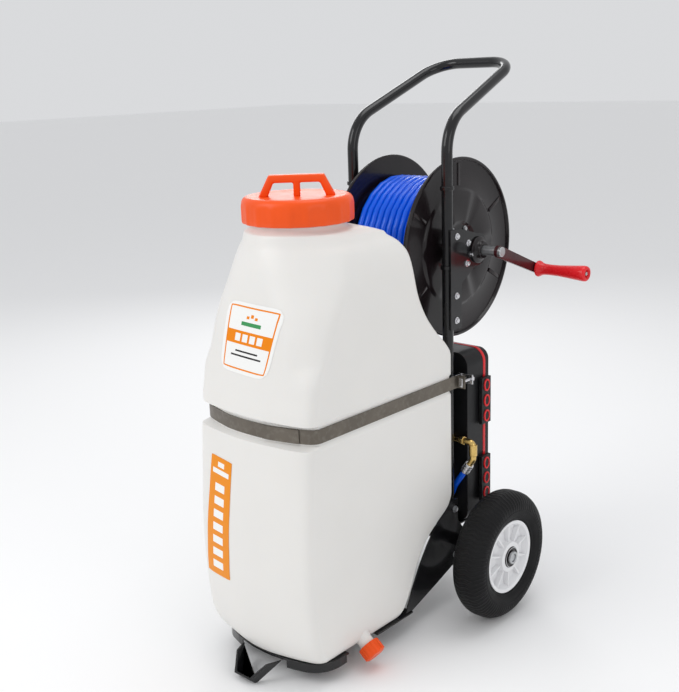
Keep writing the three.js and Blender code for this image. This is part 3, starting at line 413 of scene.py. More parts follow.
@dataclass
class Workshop:
    """Makes finished pieces in cart millimetres and puts them on the frame's bodies."""

    datum: Datum
    nodes: dict[str, bpy.types.Object]
    made: list[str] = field(default_factory=list)

    def dress(self, obj: bpy.types.Object, finish: Finish) -> bpy.types.Object:
        """Gives an object one finish.

        Args:
            obj: the object.
            finish: what it is finished in.

        Returns:
            The same object.
        """
        obj.data.materials.clear()
        obj.data.materials.append(finish.build())
        return obj

    def settle(self, obj: bpy.types.Object, body: str, finish: Finish,
               stands_for: Iterable[str] = ()) -> None:
        """Dresses a finished object, rides it on a body and lists it.

        Args:
            obj: the object, already in the row frame.
            body: CAD body that it moves with.
            finish: what it is finished in.
            stands_for: CAD nodes that it replaces.
        """
        self.dress(obj, finish)
        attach(obj, body)
        names = list(stands_for)
        if names:
            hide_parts(*names)
        self.made.append(obj.name)
        LOG.info("%s rides on %s", obj.name, body)

    def place(self, bm: BMesh, name: str, body: str, finish: Finish, stands_for: Iterable[str] = (),
              soft_angle: float = 35.0) -> bpy.types.Object:
        """Turns a bmesh drawn in cart millimetres into a finished piece.

        Args:
            bm: the mesh, which is freed.
            name: piece name.
            body: CAD body that it moves with.
            finish: what it is finished in.
            stands_for: CAD nodes that it replaces.
            soft_angle: edges turning less than this, in degrees, are shaded smooth.

        Returns:
            The piece.
        """
        bmesh.ops.remove_doubles(bm, verts=bm.verts, dist=0.001)
        bmesh.ops.recalc_face_normals(bm, faces=bm.faces)
        bmesh.ops.scale(bm, vec=(MM, MM, MM), verts=bm.verts)
        bmesh.ops.translate(bm, vec=self.datum.shift, verts=bm.verts)
        mesh = bpy.data.meshes.new(name)
        bm.to_mesh(mesh)
        bm.free()
        mesh.shade_smooth()
        mesh.set_sharp_from_angle(angle=math.radians(soft_angle))
        obj = bpy.data.objects.new(name, mesh)
        bpy.context.scene.collection.objects.link(obj)
        self.settle(obj, body, finish, stands_for)
        return obj

    def refine(self, node: str, body: str, finish: Finish, round_off: float, name: str = "",
               segments: int = 2, sharp: float = 28.0) -> bpy.types.Object:
        """Copies a CAD node, merges its facets and rounds its hard edges.

        Args:
            node: CAD node that the piece stands for.
            body: CAD body that it moves with.
            finish: what it is finished in.
            round_off: bevel width in millimetres.
            name: piece name, which follows the node's when left out.
            segments: bevel segments.
            sharp: edges turning more than this, in degrees, are rounded.

        Returns:
            The piece.
        """
        bm = bmesh.new()
        bm.from_mesh(self.nodes[node].data)
        bmesh.ops.remove_doubles(bm, verts=bm.verts, dist=1e-6)
        bmesh.ops.dissolve_limit(bm, angle_limit=math.radians(0.6), verts=bm.verts, edges=bm.edges)
        mesh = bpy.data.meshes.new(name or f"{node}_finished")
        bm.to_mesh(mesh)
        bm.free()
        mesh.shade_smooth()
        mesh.set_sharp_from_angle(angle=math.radians(sharp))
        obj = bpy.data.objects.new(mesh.name, mesh)
        bpy.context.scene.collection.objects.link(obj)
        if round_off > 0:
            rounding = obj.modifiers.new("edges", "BEVEL")
            rounding.width = round_off * MM
            rounding.segments = segments
            rounding.limit_method = "ANGLE"
            rounding.angle_limit = math.radians(sharp)
        self.settle(obj, body, finish, [node])
        return obj

    def line(self, points: Sequence[Point], radius: float, name: str, body: str, finish: Finish,
             stands_for: Iterable[str] = (), sides: int = 5, keep_curve: bool = False) -> bpy.types.Object:
        """A round tube or cord whose centreline runs through cart points.

        Args:
            points: centreline in cart millimetres.
            radius: half the diameter, in millimetres.
            name: piece name.
            body: CAD body that it moves with.
            finish: what it is finished in.
            stands_for: CAD nodes that it replaces.
            sides: a quarter of the section's side count, less one.
            keep_curve: leaves it a curve.

        Returns:
            The piece.
        """
        curve = bpy.data.curves.new(name, "CURVE")
        curve.dimensions = "3D"
        curve.bevel_depth = radius * MM
        curve.bevel_resolution = sides
        curve.use_fill_caps = True
        spline = curve.splines.new("POLY")
        spline.points.add(len(points) - 1)
        for spot, point in zip(spline.points, points):
            spot.co = (*self.datum.at(*point), 1.0)
        spline.use_smooth = True
        obj = bpy.data.objects.new(name, curve)
        bpy.context.scene.collection.objects.link(obj)
        if not keep_curve:
            bpy.context.view_layer.update()
            mesh = bpy.data.meshes.new_from_object(obj)
            bpy.data.objects.remove(obj)
            bpy.data.curves.remove(curve)
            mesh.name = name
            mesh.set_sharp_from_angle(angle=math.radians(40))
            obj = bpy.data.objects.new(name, mesh)
            bpy.context.scene.collection.objects.link(obj)
        self.settle(obj, body, finish, stands_for)
        return obj

    def declare_cord(self, hose: bpy.types.Object, path: Sequence[Vector], diameter: float, far_end: str,
                     stiffness: str, lay: str, fittings: Sequence[bpy.types.Object] = ()) -> None:
        """Works out where a hose leaves the cart in the row frame and does nothing more with it.

        Args:
            hose: the curve; not used.
            path: its centreline in cart millimetres, starting where it leaves the cart.
            diameter: outer diameter in millimetres; not used.
            far_end: what it ends in; not used.
            stiffness: limp, medium or stiff; not used.
            lay: how it lies; not used.
            fittings: pieces on it; not used.
        """
        self.datum.at(*path[0])


def lathe(profile: Sequence[tuple[float, float]], axis: str, centre: Point, steps: int = 72,
          closed: bool = True) -> BMesh:
    """Turns a profile about an axis.

    Args:
        profile: (distance along the axis, radius) in millimetres.
        axis: x or z.
        centre: point on the axis that the distances start from.
        steps: facets round the axis.
        closed: joins the last profile point to the first.

    Returns:
        The bmesh in cart millimetres.
    """
    bm = bmesh.new()
    along = Vector((1, 0, 0)) if axis == "x" else Vector((0, 0, 1))
    out = Vector((0, 1, 0))
    verts = [bm.verts.new(along * a + out * r) for a, r in profile]
    pairs = list(zip(verts, verts[1:]))
    if closed:
        pairs.append((verts[-1], verts[0]))
    edges = [bm.edges.new(pair) for pair in pairs]
    bmesh.ops.spin(bm, geom=verts + edges, cent=(0, 0, 0), axis=along, angle=FULL_TURN, steps=steps,
                   use_merge=True)
    bmesh.ops.remove_doubles(bm, verts=bm.verts, dist=0.01)
    bmesh.ops.translate(bm, vec=Vector(centre), verts=bm.verts)
    return bm


def block(x: Point, y: Point, z: Point, edge: float = 0.0, segments: int = 2) -> BMesh:
    """A box between limits with rounded edges.

    Args:
        x: low and high x in millimetres.
        y: low and high y.
        z: low and high z.
        edge: width of the edge rounding.
        segments: facets of the rounding.

    Returns:
        The bmesh in cart millimetres.
    """
    bm = bmesh.new()
    bmesh.ops.create_cube(bm, size=1.0)
    bmesh.ops.scale(bm, vec=(x[1] - x[0], y[1] - y[0], z[1] - z[0]), verts=bm.verts)
    middle = Vector(((x[0] + x[1]) / 2, (y[0] + y[1]) / 2, (z[0] + z[1]) / 2))
    bmesh.ops.translate(bm, vec=middle, verts=bm.verts)
    if edge > 0:
        round_edges(bm, bm.edges, edge, segments)
    return bm


def round_edges(bm: BMesh, edges: Iterable[BMEdge], width: float, segments: int) -> None:
    """Rounds edges by a width in the mesh's own units."""
    bmesh.ops.bevel(bm, geom=list(edges), offset=width, segments=segments, profile=0.5,
                    affect="EDGES", material=-1, clamp_overlap=True)


def merge(target: BMesh, *others: BMesh) -> BMesh:
    """Adds other bmeshes to a target and frees them.

    Args:
        target: bmesh that grows.
        others: bmeshes to add.

    Returns:
        The target.
    """
    for other in others:
        spare = bpy.data.meshes.new("spare")
        other.to_mesh(spare)
        other.free()
        target.from_mesh(spare)
        bpy.data.meshes.remove(spare)
    return target


def skin(bm: BMesh, loops: Sequence[Sequence[Vector]], cap_ends: bool = True, wrap: bool = False) -> BMesh:
    """Bridges a stack of closed loops.

    Args:
        bm: mesh that takes them.
        loops: rings of points with equal counts.
        cap_ends: closes the first and last ring with a face.
        wrap: bridges the last ring back to the first.

    Returns:
        The same bmesh.
    """
    rings = []
    for loop in loops:
        verts = [bm.verts.new(p) for p in loop]
        rings.append([bm.edges.new((verts[i], verts[(i + 1) % len(verts)])) for i in range(len(verts))])
    pairs = list(zip(rings, rings[1:]))
    if wrap:
        pairs.append((rings[-1], rings[0]))
    for below, above in pairs:
        bmesh.ops.bridge_loops(bm, edges=below + above)
    if cap_ends and not wrap:
        for ring in (rings[0], rings[-1]):
            bmesh.ops.contextual_create(bm, geom=ring)
    return bm


def rounded_route(corners: Sequence[Point], step: float = 4.0) -> list[Vector]:
    """Rounds each inner corner of a polyline with an arc.

    Args:
        corners: [x, y, z] at the ends and [x, y, z, radius] between them.
        step: degrees that each stretch of an arc turns.

    Returns:
        The points of the route.
    """
    at = [Vector(c[:3]) for c in corners]
    stops = [at[0]]
    for i in range(1, len(at) - 1):
        back = (at[i - 1] - at[i]).normalized()
        on = (at[i + 1] - at[i]).normalized()
        turn = math.pi - back.angle(on)
        radius = corners[i][3]
        middle = (back + on).normalized()
        centre = at[i] + middle * (radius / math.cos(turn / 2))
        start = at[i] + back * (radius * math.tan(turn / 2)) - centre
        axis = start.cross(at[i] - centre).normalized()
        steps = max(2, round(math.degrees(turn) / step))
        for k in range(steps + 1):
            stops.append(Matrix.Rotation(turn * k / steps, 3, axis) @ start + centre)
    stops.append(at[-1])
    return stops


def turned(bm: BMesh, angle: float, axis: str, centre: Point) -> BMesh:
    """Turns a piece drawn about the origin and moves it to its place.

    Args:
        bm: the piece.
        angle: turn in radians.
        axis: X, Y or Z.
        centre: where its origin goes.

    Returns:
        The same bmesh.
    """
    bmesh.ops.rotate(bm, matrix=Matrix.Rotation(angle, 3, axis), cent=(0, 0, 0), verts=bm.verts)
    bmesh.ops.translate(bm, vec=Vector(centre), verts=bm.verts)
    return bm


def hexagon_bolt(centre: Point, side: float, size: float, high: float) -> BMesh:
    """A hexagonal bolt head on a washer, standing out along x.

    Args:
        centre: where the washer rests.
        side: +1 or -1, the way it faces.
        size: radius across the head's corners.
        high: height of the head.

    Returns:
        The bmesh in cart millimetres.
    """
    washer = bmesh.new()
    rim, thick = size * 1.35, 1.2
    bmesh.ops.create_cone(washer, cap_ends=True, segments=28, radius1=rim, radius2=rim, depth=thick)
    bmesh.ops.translate(washer, vec=(0, 0, thick / 2), verts=washer.verts)
    head = bmesh.new()
    bmesh.ops.create_cone(head, cap_ends=True, segments=6, radius1=size, radius2=size, depth=high)
    round_edges(head, head.edges, 0.5, 2)
    bmesh.ops.translate(head, vec=(0, 0, thick + high / 2), verts=head.verts)
    bm = merge(washer, head)
    return turned(bm, math.radians(90 * side), "Y", centre)


SIDES = (("right", 1), ("left", -1))


# ---------------------------------------------------------------- chassis
@dataclass
class Chassis:
    """Bent handle tube, axle, tray, cradle plates, collars and the front foot."""

    shop: Workshop
    tube_r: float = 11.0
    post_x: float = 120.0
    post_foot_z: float = 92.0
    bend_z: float = 1003.0
    bend_r: float = 85.0
    corner_r: float = 62.0
    grip_bar: tuple[float, float, float] = (98.0, 268.0, 1114.0)
    collar_heights: tuple[float, float] = (880.0, 725.0)
    plate_face: float = 134.4
    plate_bolts: tuple[Point, ...] = ((0, 112), (0, 215), (32, 108))

    def build(self) -> None:
        """Builds every chassis piece."""
        self.handle()
        self.collars()
        self.undercarriage()

    def handle(self) -> None:
        """The one bent tube from foot to foot."""
        x, y, z = self.grip_bar
        route = rounded_route([
            (-self.post_x, 0, self.post_foot_z),
            (-self.post_x, 0, self.bend_z, self.bend_r),
            (-x, y, z, self.corner_r),
            (x, y, z, self.corner_r),
            (self.post_x, 0, self.bend_z, self.bend_r),
            (self.post_x, 0, self.post_foot_z),
        ], step=3.0)
        self.shop.line(route, self.tube_r, "handle", "frame", BLACK_PAINT, ["handle_tube"], sides=8)

    def collars(self) -> None:
        """Clamp rings round the posts, with their screws."""
        for side_name, side in SIDES:
            for index, height in enumerate(self.collar_heights):
                ring = lathe([(-4, 11.1), (-4, 13), (-3, 13.8), (3, 13.8), (4, 13), (4, 11.1)], "z",
                             (side * self.post_x, 0, height), steps=36)
                self.shop.place(ring, f"collar_{side_name}_{index}", "frame", BLACK_PAINT)

    def undercarriage(self) -> None:
        """Axle, tray, plates and foot with rounded edges and their bolts."""
        for node in ("base_tray", "front_foot", "case_shelf"):
            self.shop.refine(node, "frame", BLACK_PAINT, 0.8)
        self.shop.refine("upper_crossmember", "frame", BLACK_PAINT, 0.0)
        self.shop.refine("axle_tube", "frame", BLACK_PAINT, 0.0)
        self.shop.refine("axle", "frame", ZINC_STEEL, 1.0)
        for side_name, side in SIDES:
            self.shop.refine(f"side_plate_{side_name}", "frame", BLACK_PAINT, 0.8)
            heads = [hexagon_bolt((side * self.plate_face, y, z), side, 5.5, 4.0)
                     for y, z in self.plate_bolts]
            self.shop.place(merge(*heads), f"plate_bolts_{side_name}", "frame", ZINC_STEEL)


# ---------------------------------------------------------------- tank
@dataclass(frozen=True)
class Station:
    """Plan of the tank at one height."""

    z: float
    half: float
    back: float
    front: float
    nose: float
    square: float
    cut: float


@dataclass
class Tank:
    """Moulded tank, its labels, filler, drain, outlet and strap."""

    shop: Workshop
    bottom: float = 44.35
    wall: float = 4.5
    back: float = -13.5
    corner_r: float = 16.0
    neck_y: float = -291.0
    neck_r: float = 88.0
    neck_base: float = 836.0
    neck_top: float = 866.0
    cap_r: float = 102.0
    cap_bottom: float = 846.0
    cap_top: float = 893.0
    cap_flutes: int = 20
    handle_turn: float = 42.0
    handle_foot: float = 70.0
    handle_top: float = 50.0
    handle_height: float = 37.0
    drain: tuple[float, float, float] = (131.0, -302.0, 58.0)
    drain_tilt: float = 38.0
    drain_r: float = 15.0
    drain_length: float = 40.0
    strap_z: float = 481.0
    strap_height: float = 26.0
    strap_thick: float = 2.0
    strap_tab: tuple[float, float] = (160.0, 3.0)
    groove: Station = Station(477, 140, -13.5, -444, 52, 0.85, 43)
    stations: list[Station] = field(default_factory=list)
    surface: Optional[BVHTree] = None

    def __post_init__(self) -> None:
        """Lists the stations from the bottom up."""
        back = self.back
        rows = [
            (self.bottom, 124, -186, -434, 34, 0.85, 46), (50, 134, -180, -446, 36, 0.86, 44),
            (68, 142, -170, -458, 38, 0.88, 42), (104, 144, -151, -466, 38, 0.9, 40),
            (154, 144, -126, -471, 38, 0.9, 40), (191, 144, -95, -473, 38, 0.9, 40),
            (215, 144, -60, -474, 38, 0.9, 40), (238, 144, -24, -474, 38, 0.9, 40),
            (262, 144, back, -474, 39, 0.9, 40), (360, 144, back, -468, 42, 0.9, 40),
            (440, 144, back, -460, 47, 0.9, 39), (472, 144, back, -455, 51, 0.9, 38),
            (477, 140, back, -444, 52, 0.85, 43), (510, 140, back, -444, 52, 0.85, 43),
            (515, 144, back, -449, 57, 0.9, 38), (555, 144, back, -440, 74, 0.88, 36),
            (578, 144, -28, -436, 85, 0.85, 36), (606, 143, -56, -431, 92, 0.8, 40),
            (649, 142, -91, -426, 84, 0.76, 62), (695, 141, -113, -420, 62, 0.7, 84),
            (744, 139, -124, -412, 38, 0.58, 106), (775, 134, -131, -406, 28, 0.54, 112),
            (800, 125, -149, -399, 24, 0.52, 108), (820, 111, -172, -393, 22, 0.52, 98),
        ]
        self.stations = [Station(*row) for row in rows]

    def build(self) -> None:
        """Builds every piece of the tank."""
        self.shell()
        self.spout()
        self.labels()
        self.filler()
        self.drain_cap()
        self.outlet()
        self.strap()

    def half_plan(self, station: Station, inset: float) -> list[Vector]:
        """Half of the plan, from the nose to the middle of the back.

        Args:
            station: the plan's sizes.
            inset: how far it lies inside the outer surface.

        Returns:
            Points with z at 0.
        """
        half = station.half - inset
        front = station.front + inset
        back = station.back - inset
        nose = Vector((max(station.nose - inset / 2, 8), front + 3, 0))
        hip = Vector((half, front + station.cut, 0))
        lean = max(4.0, min(24.0, 2 * station.cut - 62))
        knuckle = Vector((half - 3, front + lean, 0))
        first = nose.lerp(knuckle, station.square)
        last = hip.lerp(knuckle, station.square)
        points = [Vector((nose.x * k / 4, front + 3 * (k / 4) ** 2, 0)) for k in range(4)]
        for k in range(17):
            t = k / 16
            points.append(nose * (1 - t) ** 3 + first * 3 * t * (1 - t) ** 2
                          + last * 3 * t * t * (1 - t) + hip * t ** 3)
        corner = max(self.corner_r - inset, 6)
        side_end = back - corner
        points += [Vector((half, hip.y + (side_end - hip.y) * k / 8, 0)) for k in range(1, 8)]
        for k in range(7):
            a = math.radians(15 * k)
            points.append(Vector((half - corner + corner * math.cos(a), side_end + corner * math.sin(a), 0)))
        points += [Vector((half * share, back, 0)) for share in (0.6, 0.3, 0.0)]
        return points

    def ring(self, station: Station, inset: float, z: float) -> list[Vector]:
        """The whole plan of a station at a height."""
        half = self.half_plan(station, inset)
        whole = half + [Vector((-p.x, p.y, 0)) for p in half[-2:0:-1]]
        return [p + Vector((0, 0, z)) for p in whole]

    def eased_stations(self, fineness: float) -> list[Station]:
        """Stations with smooth steps between them.

        Args:
            fineness: greatest height between steps, in millimetres.

        Returns:
            The stations and the steps between them, bottom first.
        """
        keys = ("half", "back", "front", "nose", "square", "cut")
        given = self.stations

        def slope(i: int, key: str) -> float:
            """Height slope at a station, flat where the values turn back."""
            if i == len(given) - 1:
                return 0.0
            if i == 0:
                return (getattr(given[1], key) - getattr(given[0], key)) / (given[1].z - given[0].z)
            below = (getattr(given[i], key) - getattr(given[i - 1], key)) / (given[i].z - given[i - 1].z)
            above = (getattr(given[i + 1], key) - getattr(given[i], key)) / (given[i + 1].z - given[i].z)
            return 0.0 if below * above <= 0 else 2 * below * above / (below + above)

        eased = []
        for i, (low, high) in enumerate(zip(given, given[1:])):
            run = high.z - low.z
            steps = max(1, round(run / fineness))
            for k in range(steps):
                t = k / steps
                values = {}
                for key in keys:
                    a, b = getattr(low, key), getattr(high, key)
                    m, n = slope(i, key) * run, slope(i + 1, key) * run
                    values[key] = (a * (2 * t ** 3 - 3 * t * t + 1) + m * (t ** 3 - 2 * t * t + t)
                                   + b * (3 * t * t - 2 * t ** 3) + n * (t ** 3 - t * t))
                eased.append(Station(z=low.z + run * t, **values))
        eased.append(given[-1])
        return eased

    def skin_rings(self, inset: float, fineness: float) -> list[list[Vector]]:
        """Rings from the bottom of one skin to the rim of its neck."""
        floor = self.bottom + inset
        rings = []
        for station in self.eased_stations(fineness):
            z = station.z - (inset if station.z > 780 else 0.0)
            if not rings:
                z = floor
            elif z < rings[-1][0].z + 1.5:
                continue
            rings.append(self.ring(station, inset, z))
        last = rings[-1]
        for share in (0.25, 0.5, 0.75, 1.0):
            rise = math.sin(share * math.pi / 2)
            neck = self.neck_ring(last, self.neck_r + 10 - inset, self.neck_base - 4 - inset)
            z = last[0].z + (neck[0].z - last[0].z) * rise
            rings.append([Vector((*p.lerp(q, share).xy, z)) for p, q in zip(last, neck)])
        for extra, z in ((4, self.neck_base - 1), (0.5, self.neck_base + 3), (0, self.neck_base + 6),
                         (0, self.neck_top)):
            drop = inset if z < self.neck_top else 0
            rings.append(self.neck_ring(last, self.neck_r + extra - inset, z - drop))
        return rings

    def neck_ring(self, like: list[Vector], radius: float, z: float) -> list[Vector]:
        """A circle round the neck matched point by point to a ring."""
        middle = Vector((0, self.neck_y))
        flat = [middle + (p.xy - middle).normalized() * radius for p in like]
        return [Vector((p.x, p.y, z)) for p in flat]

    def shell(self) -> None:
        """The hollow tank with its open neck."""
        outer = self.skin_rings(0.0, 7.0)
        inner = self.skin_rings(self.wall, 24.0)
        bm = skin(bmesh.new(), outer + inner[::-1])
        bmesh.ops.recalc_face_normals(bm, faces=bm.faces)
        self.surface = BVHTree.FromBMesh(bm)
        self.shop.place(bm, "tank_shell", "frame", TANK_PLASTIC, ["tank"], soft_angle=48)

    def spout(self) -> None:
        """The drain spout with a fillet where it leaves the wall."""
        r = self.drain_r
        profile = [(-6, 10), (-6, r + 5), (0, r + 4), (4, r + 1.2), (9, r), (self.drain_length, r),
                   (self.drain_length, 10)]
        spout = lathe(profile, "z", (0, 0, 0), 48)
        tip = math.radians(90 + self.drain_tilt)
        self.shop.place(turned(spout, tip, "Y", self.drain), "drain_spout", "frame", TANK_PLASTIC)

    def decal(self, corners: Sequence[tuple[float, float]], lift: float, rounding: float, name: str,
              finish: Finish) -> None:
        """A thin sticker laid on the front of the tank.

        Args:
            corners: x and z of its lower left, lower right, upper right and upper left corners.
            lift: how far it stands off the tank, in millimetres.
            rounding: share of the half width by which its corners are drawn in.
            name: piece name.
            finish: its printed finish.
        """
        bm = bmesh.new()
        bmesh.ops.create_grid(bm, x_segments=48, y_segments=48, size=0.5, calc_uvs=False)
        print_map = bm.loops.layers.uv.new("print")
        for face in bm.faces:
            for loop in face.loops:
                loop[print_map].uv = (loop.vert.co.x + 0.5, loop.vert.co.y + 0.5)
        low_left, low_right, high_right, high_left = (Vector(c) for c in corners)
        for vert in bm.verts:
            pull = rounding * (4 * abs(vert.co.x * vert.co.y)) ** 6
            u, v = vert.co.x * (1 - pull) + 0.5, vert.co.y * (1 - pull) + 0.5
            spot = low_left.lerp(low_right, u).lerp(high_left.lerp(high_right, u), v)
            hit, normal, _, _ = self.surface.ray_cast(Vector((spot.x, -700, spot.y)), Vector((0, 1, 0)))
            vert.co = hit - normal * math.copysign(lift, normal.y)
        self.shop.place(bm, name, "frame", finish)

    def labels(self) -> None:
        """The printed panel on the nose and the upright strip on the left front facet."""
        self.decal([(-79, 589), (45, 584), (81, 712), (-62, 717)], 0.5, 0.12, "nose_label", PANEL_PRINT)
        self.decal([(-125, 180), (-46, 184), (-28, 422), (-94, 425)], 0.5, 0.01, "side_label", STRIP_PRINT)

    def filler(self) -> None:
        """Strainer, seal and the orange cap with its bridge handle."""
        lip = self.neck_top + GAP
        basket = lathe([(lip - 82, 0), (lip - 80, 70), (lip - 76, 73), (lip, 77), (lip, 87), (lip + 2, 87),
                        (lip + 2, 74), (lip - 76, 69), (lip - 79.5, 0)], "z", (0, self.neck_y, 0), 64,
                       closed=False)
        self.shop.place(basket, "strainer_basket", "strainer", GREY_PLASTIC, ["strainer"])
        self.shop.refine("cap_seal", "seal", SEAL_RUBBER, 0.6)
        self.shop.place(merge(self.cap_cup(lip + 5.7), self.cap_handle()), "filler_cap_finished", "cap",
                        ORANGE_PLASTIC, ["filler_cap"])

    def cap_cup(self, roof: float) -> BMesh:
        """The cap without its handle: a cup with a round shoulder and shallow flutes.

        Args:
            roof: height of the inner face over the seal.

        Returns:
            The bmesh in cart millimetres.
        """
        r, low, top, inner = self.cap_r, self.cap_bottom, self.cap_top, self.neck_r + 2
        profile = [(roof, 0), (roof, inner), (low, inner), (low, r - 4), (low + 1, r - 2), (low + 3, r - 1)]
        profile += [(top - 12 - 26 * (1 - k / 6), r - 0.6) for k in range(6)]
        for k in range(7):
            a = math.radians(15 * k)
            profile.append((top - 12 + 12 * math.sin(a), r - 12 + 11.4 * math.cos(a)))
        profile += [(top - 1.5, r - 22), (top - 2, r - 30), (top - 2, 0)]
        bm = lathe(profile, "z", (0, 0, 0), 160, closed=False)
        for vert in bm.verts:
            reach = vert.co.xy.length
            if reach > r - 5 and vert.co.z < top - 9:
                fade = min(1.0, (top - 9 - vert.co.z) / 6)
                swell = 1.4 * max(0.0, math.cos(self.cap_flutes * math.atan2(vert.co.y, vert.co.x))) ** 0.5
                vert.co.xy = vert.co.xy * (1 + swell * fade / reach)
        bmesh.ops.translate(bm, vec=(0, self.neck_y, 0), verts=bm.verts)
        return bm

    def cap_handle(self) -> BMesh:
        """The cap's bridge: two leaning legs, a top bar and a middle post, all with round edges."""
        foot, top, high, bar, wide = self.handle_foot, self.handle_top, self.handle_height, 14.0, 21.0
        rise = self.cap_top - 3
        peak = rise + high + 2
        half = bar / 2
        outline = [(-foot, rise), (-top, peak), (top, peak), (foot, rise), (foot - bar - 3, rise),
                   (top - half - 1, peak - bar), (half - 1, peak - bar), (half - 1, rise), (1 - half, rise),
                   (1 - half, peak - bar), (1 + half - top, peak - bar), (bar + 3 - foot, rise)]
        bm = bmesh.new()
        face = bm.faces.new([bm.verts.new((x, -wide / 2, z)) for x, z in outline])
        grown = bmesh.ops.extrude_face_region(bm, geom=[face])
        moved = [g for g in grown["geom"] if isinstance(g, BMVert)]
        bmesh.ops.translate(bm, vec=(0, wide, 0), verts=moved)
        bmesh.ops.recalc_face_normals(bm, faces=bm.faces)
        round_edges(bm, bm.edges, 3.0, 3)
        return turned(bm, math.radians(self.handle_turn), "Z", (0, self.neck_y, 0))

    def drain_cap(self) -> None:
        """Seal and ribbed cap on the spout."""
        self.shop.refine("drain_seal", "drain_seal", SEAL_RUBBER, 0.3)
        self.shop.refine("drain_cap", "drain_cap", ORANGE_PLASTIC, 0.6)

    def outlet(self) -> None:
        """The barbed outlet low on the tank's back."""
        self.shop.refine("tank_outlet", "frame", CASE_PLASTIC, 0.6)

    def strap_path(self, offset: float) -> list[Vector]:
        """The strap's middle line from the left tab round the nose to the right tab."""
        tab_x, tab_y = self.strap_tab
        side = [p for p in self.half_plan(self.groove, -offset) if p.y < -60]
        side.append(Vector((self.groove.half + offset, tab_y - 6, 0)))
        side.append(Vector((self.groove.half + offset + 1.5, tab_y - 2, 0)))
        side.append(Vector((self.groove.half + offset + 5, tab_y - self.strap_thick / 2, 0)))
        side.append(Vector((tab_x, tab_y - self.strap_thick / 2, 0)))
        left = [Vector((-p.x, p.y, 0)) for p in side[:0:-1]]
        return left + side

    def band(self, path: list[Vector], thick: float, low: float, high: float) -> BMesh:
        """A flat band standing on edge along a path.

        Args:
            path: middle line with z at 0.
            thick: thickness.
            low: lower edge.
            high: upper edge.

        Returns:
            The bmesh in cart millimetres.
        """
        sections = []
        for i, here in enumerate(path):
            along = (path[min(i + 1, len(path) - 1)] - path[max(i - 1, 0)]).normalized()
            out = Vector((along.y, -along.x, 0)) * thick / 2
            sections.append([here - out + Vector((0, 0, low)), here + out + Vector((0, 0, low)),
                             here + out + Vector((0, 0, high)), here - out + Vector((0, 0, high))])
        return skin(bmesh.new(), sections)

    def strap(self) -> None:
        """Steel strap round the tank, its lap, ears and T-bolts."""
        low, high = self.strap_z, self.strap_z + self.strap_height
        path = self.strap_path(GAP + self.strap_thick / 2)
        self.shop.place(self.band(path, self.strap_thick, low, high), "strap", "frame", STRAP_STEEL,
                        ["strap_band"], soft_angle=30)
        lap_path = self.strap_path(GAP + self.strap_thick * 1.5)
        lap = [p for p in lap_path if 34 < p.x < 118 and p.y < -380]
        overlap = self.band(lap, self.strap_thick, low + 0.4, high - 0.4)
        self.shop.place(overlap, "strap_lap", "frame", STRAP_STEEL)
        for side_name, _ in SIDES:
            self.shop.refine(f"strap_ear_{side_name}", "frame", BRIGHT_STEEL, 0.7)
            self.shop.refine(f"strap_bolt_{side_name}", "frame", BRIGHT_STEEL, 0.6)


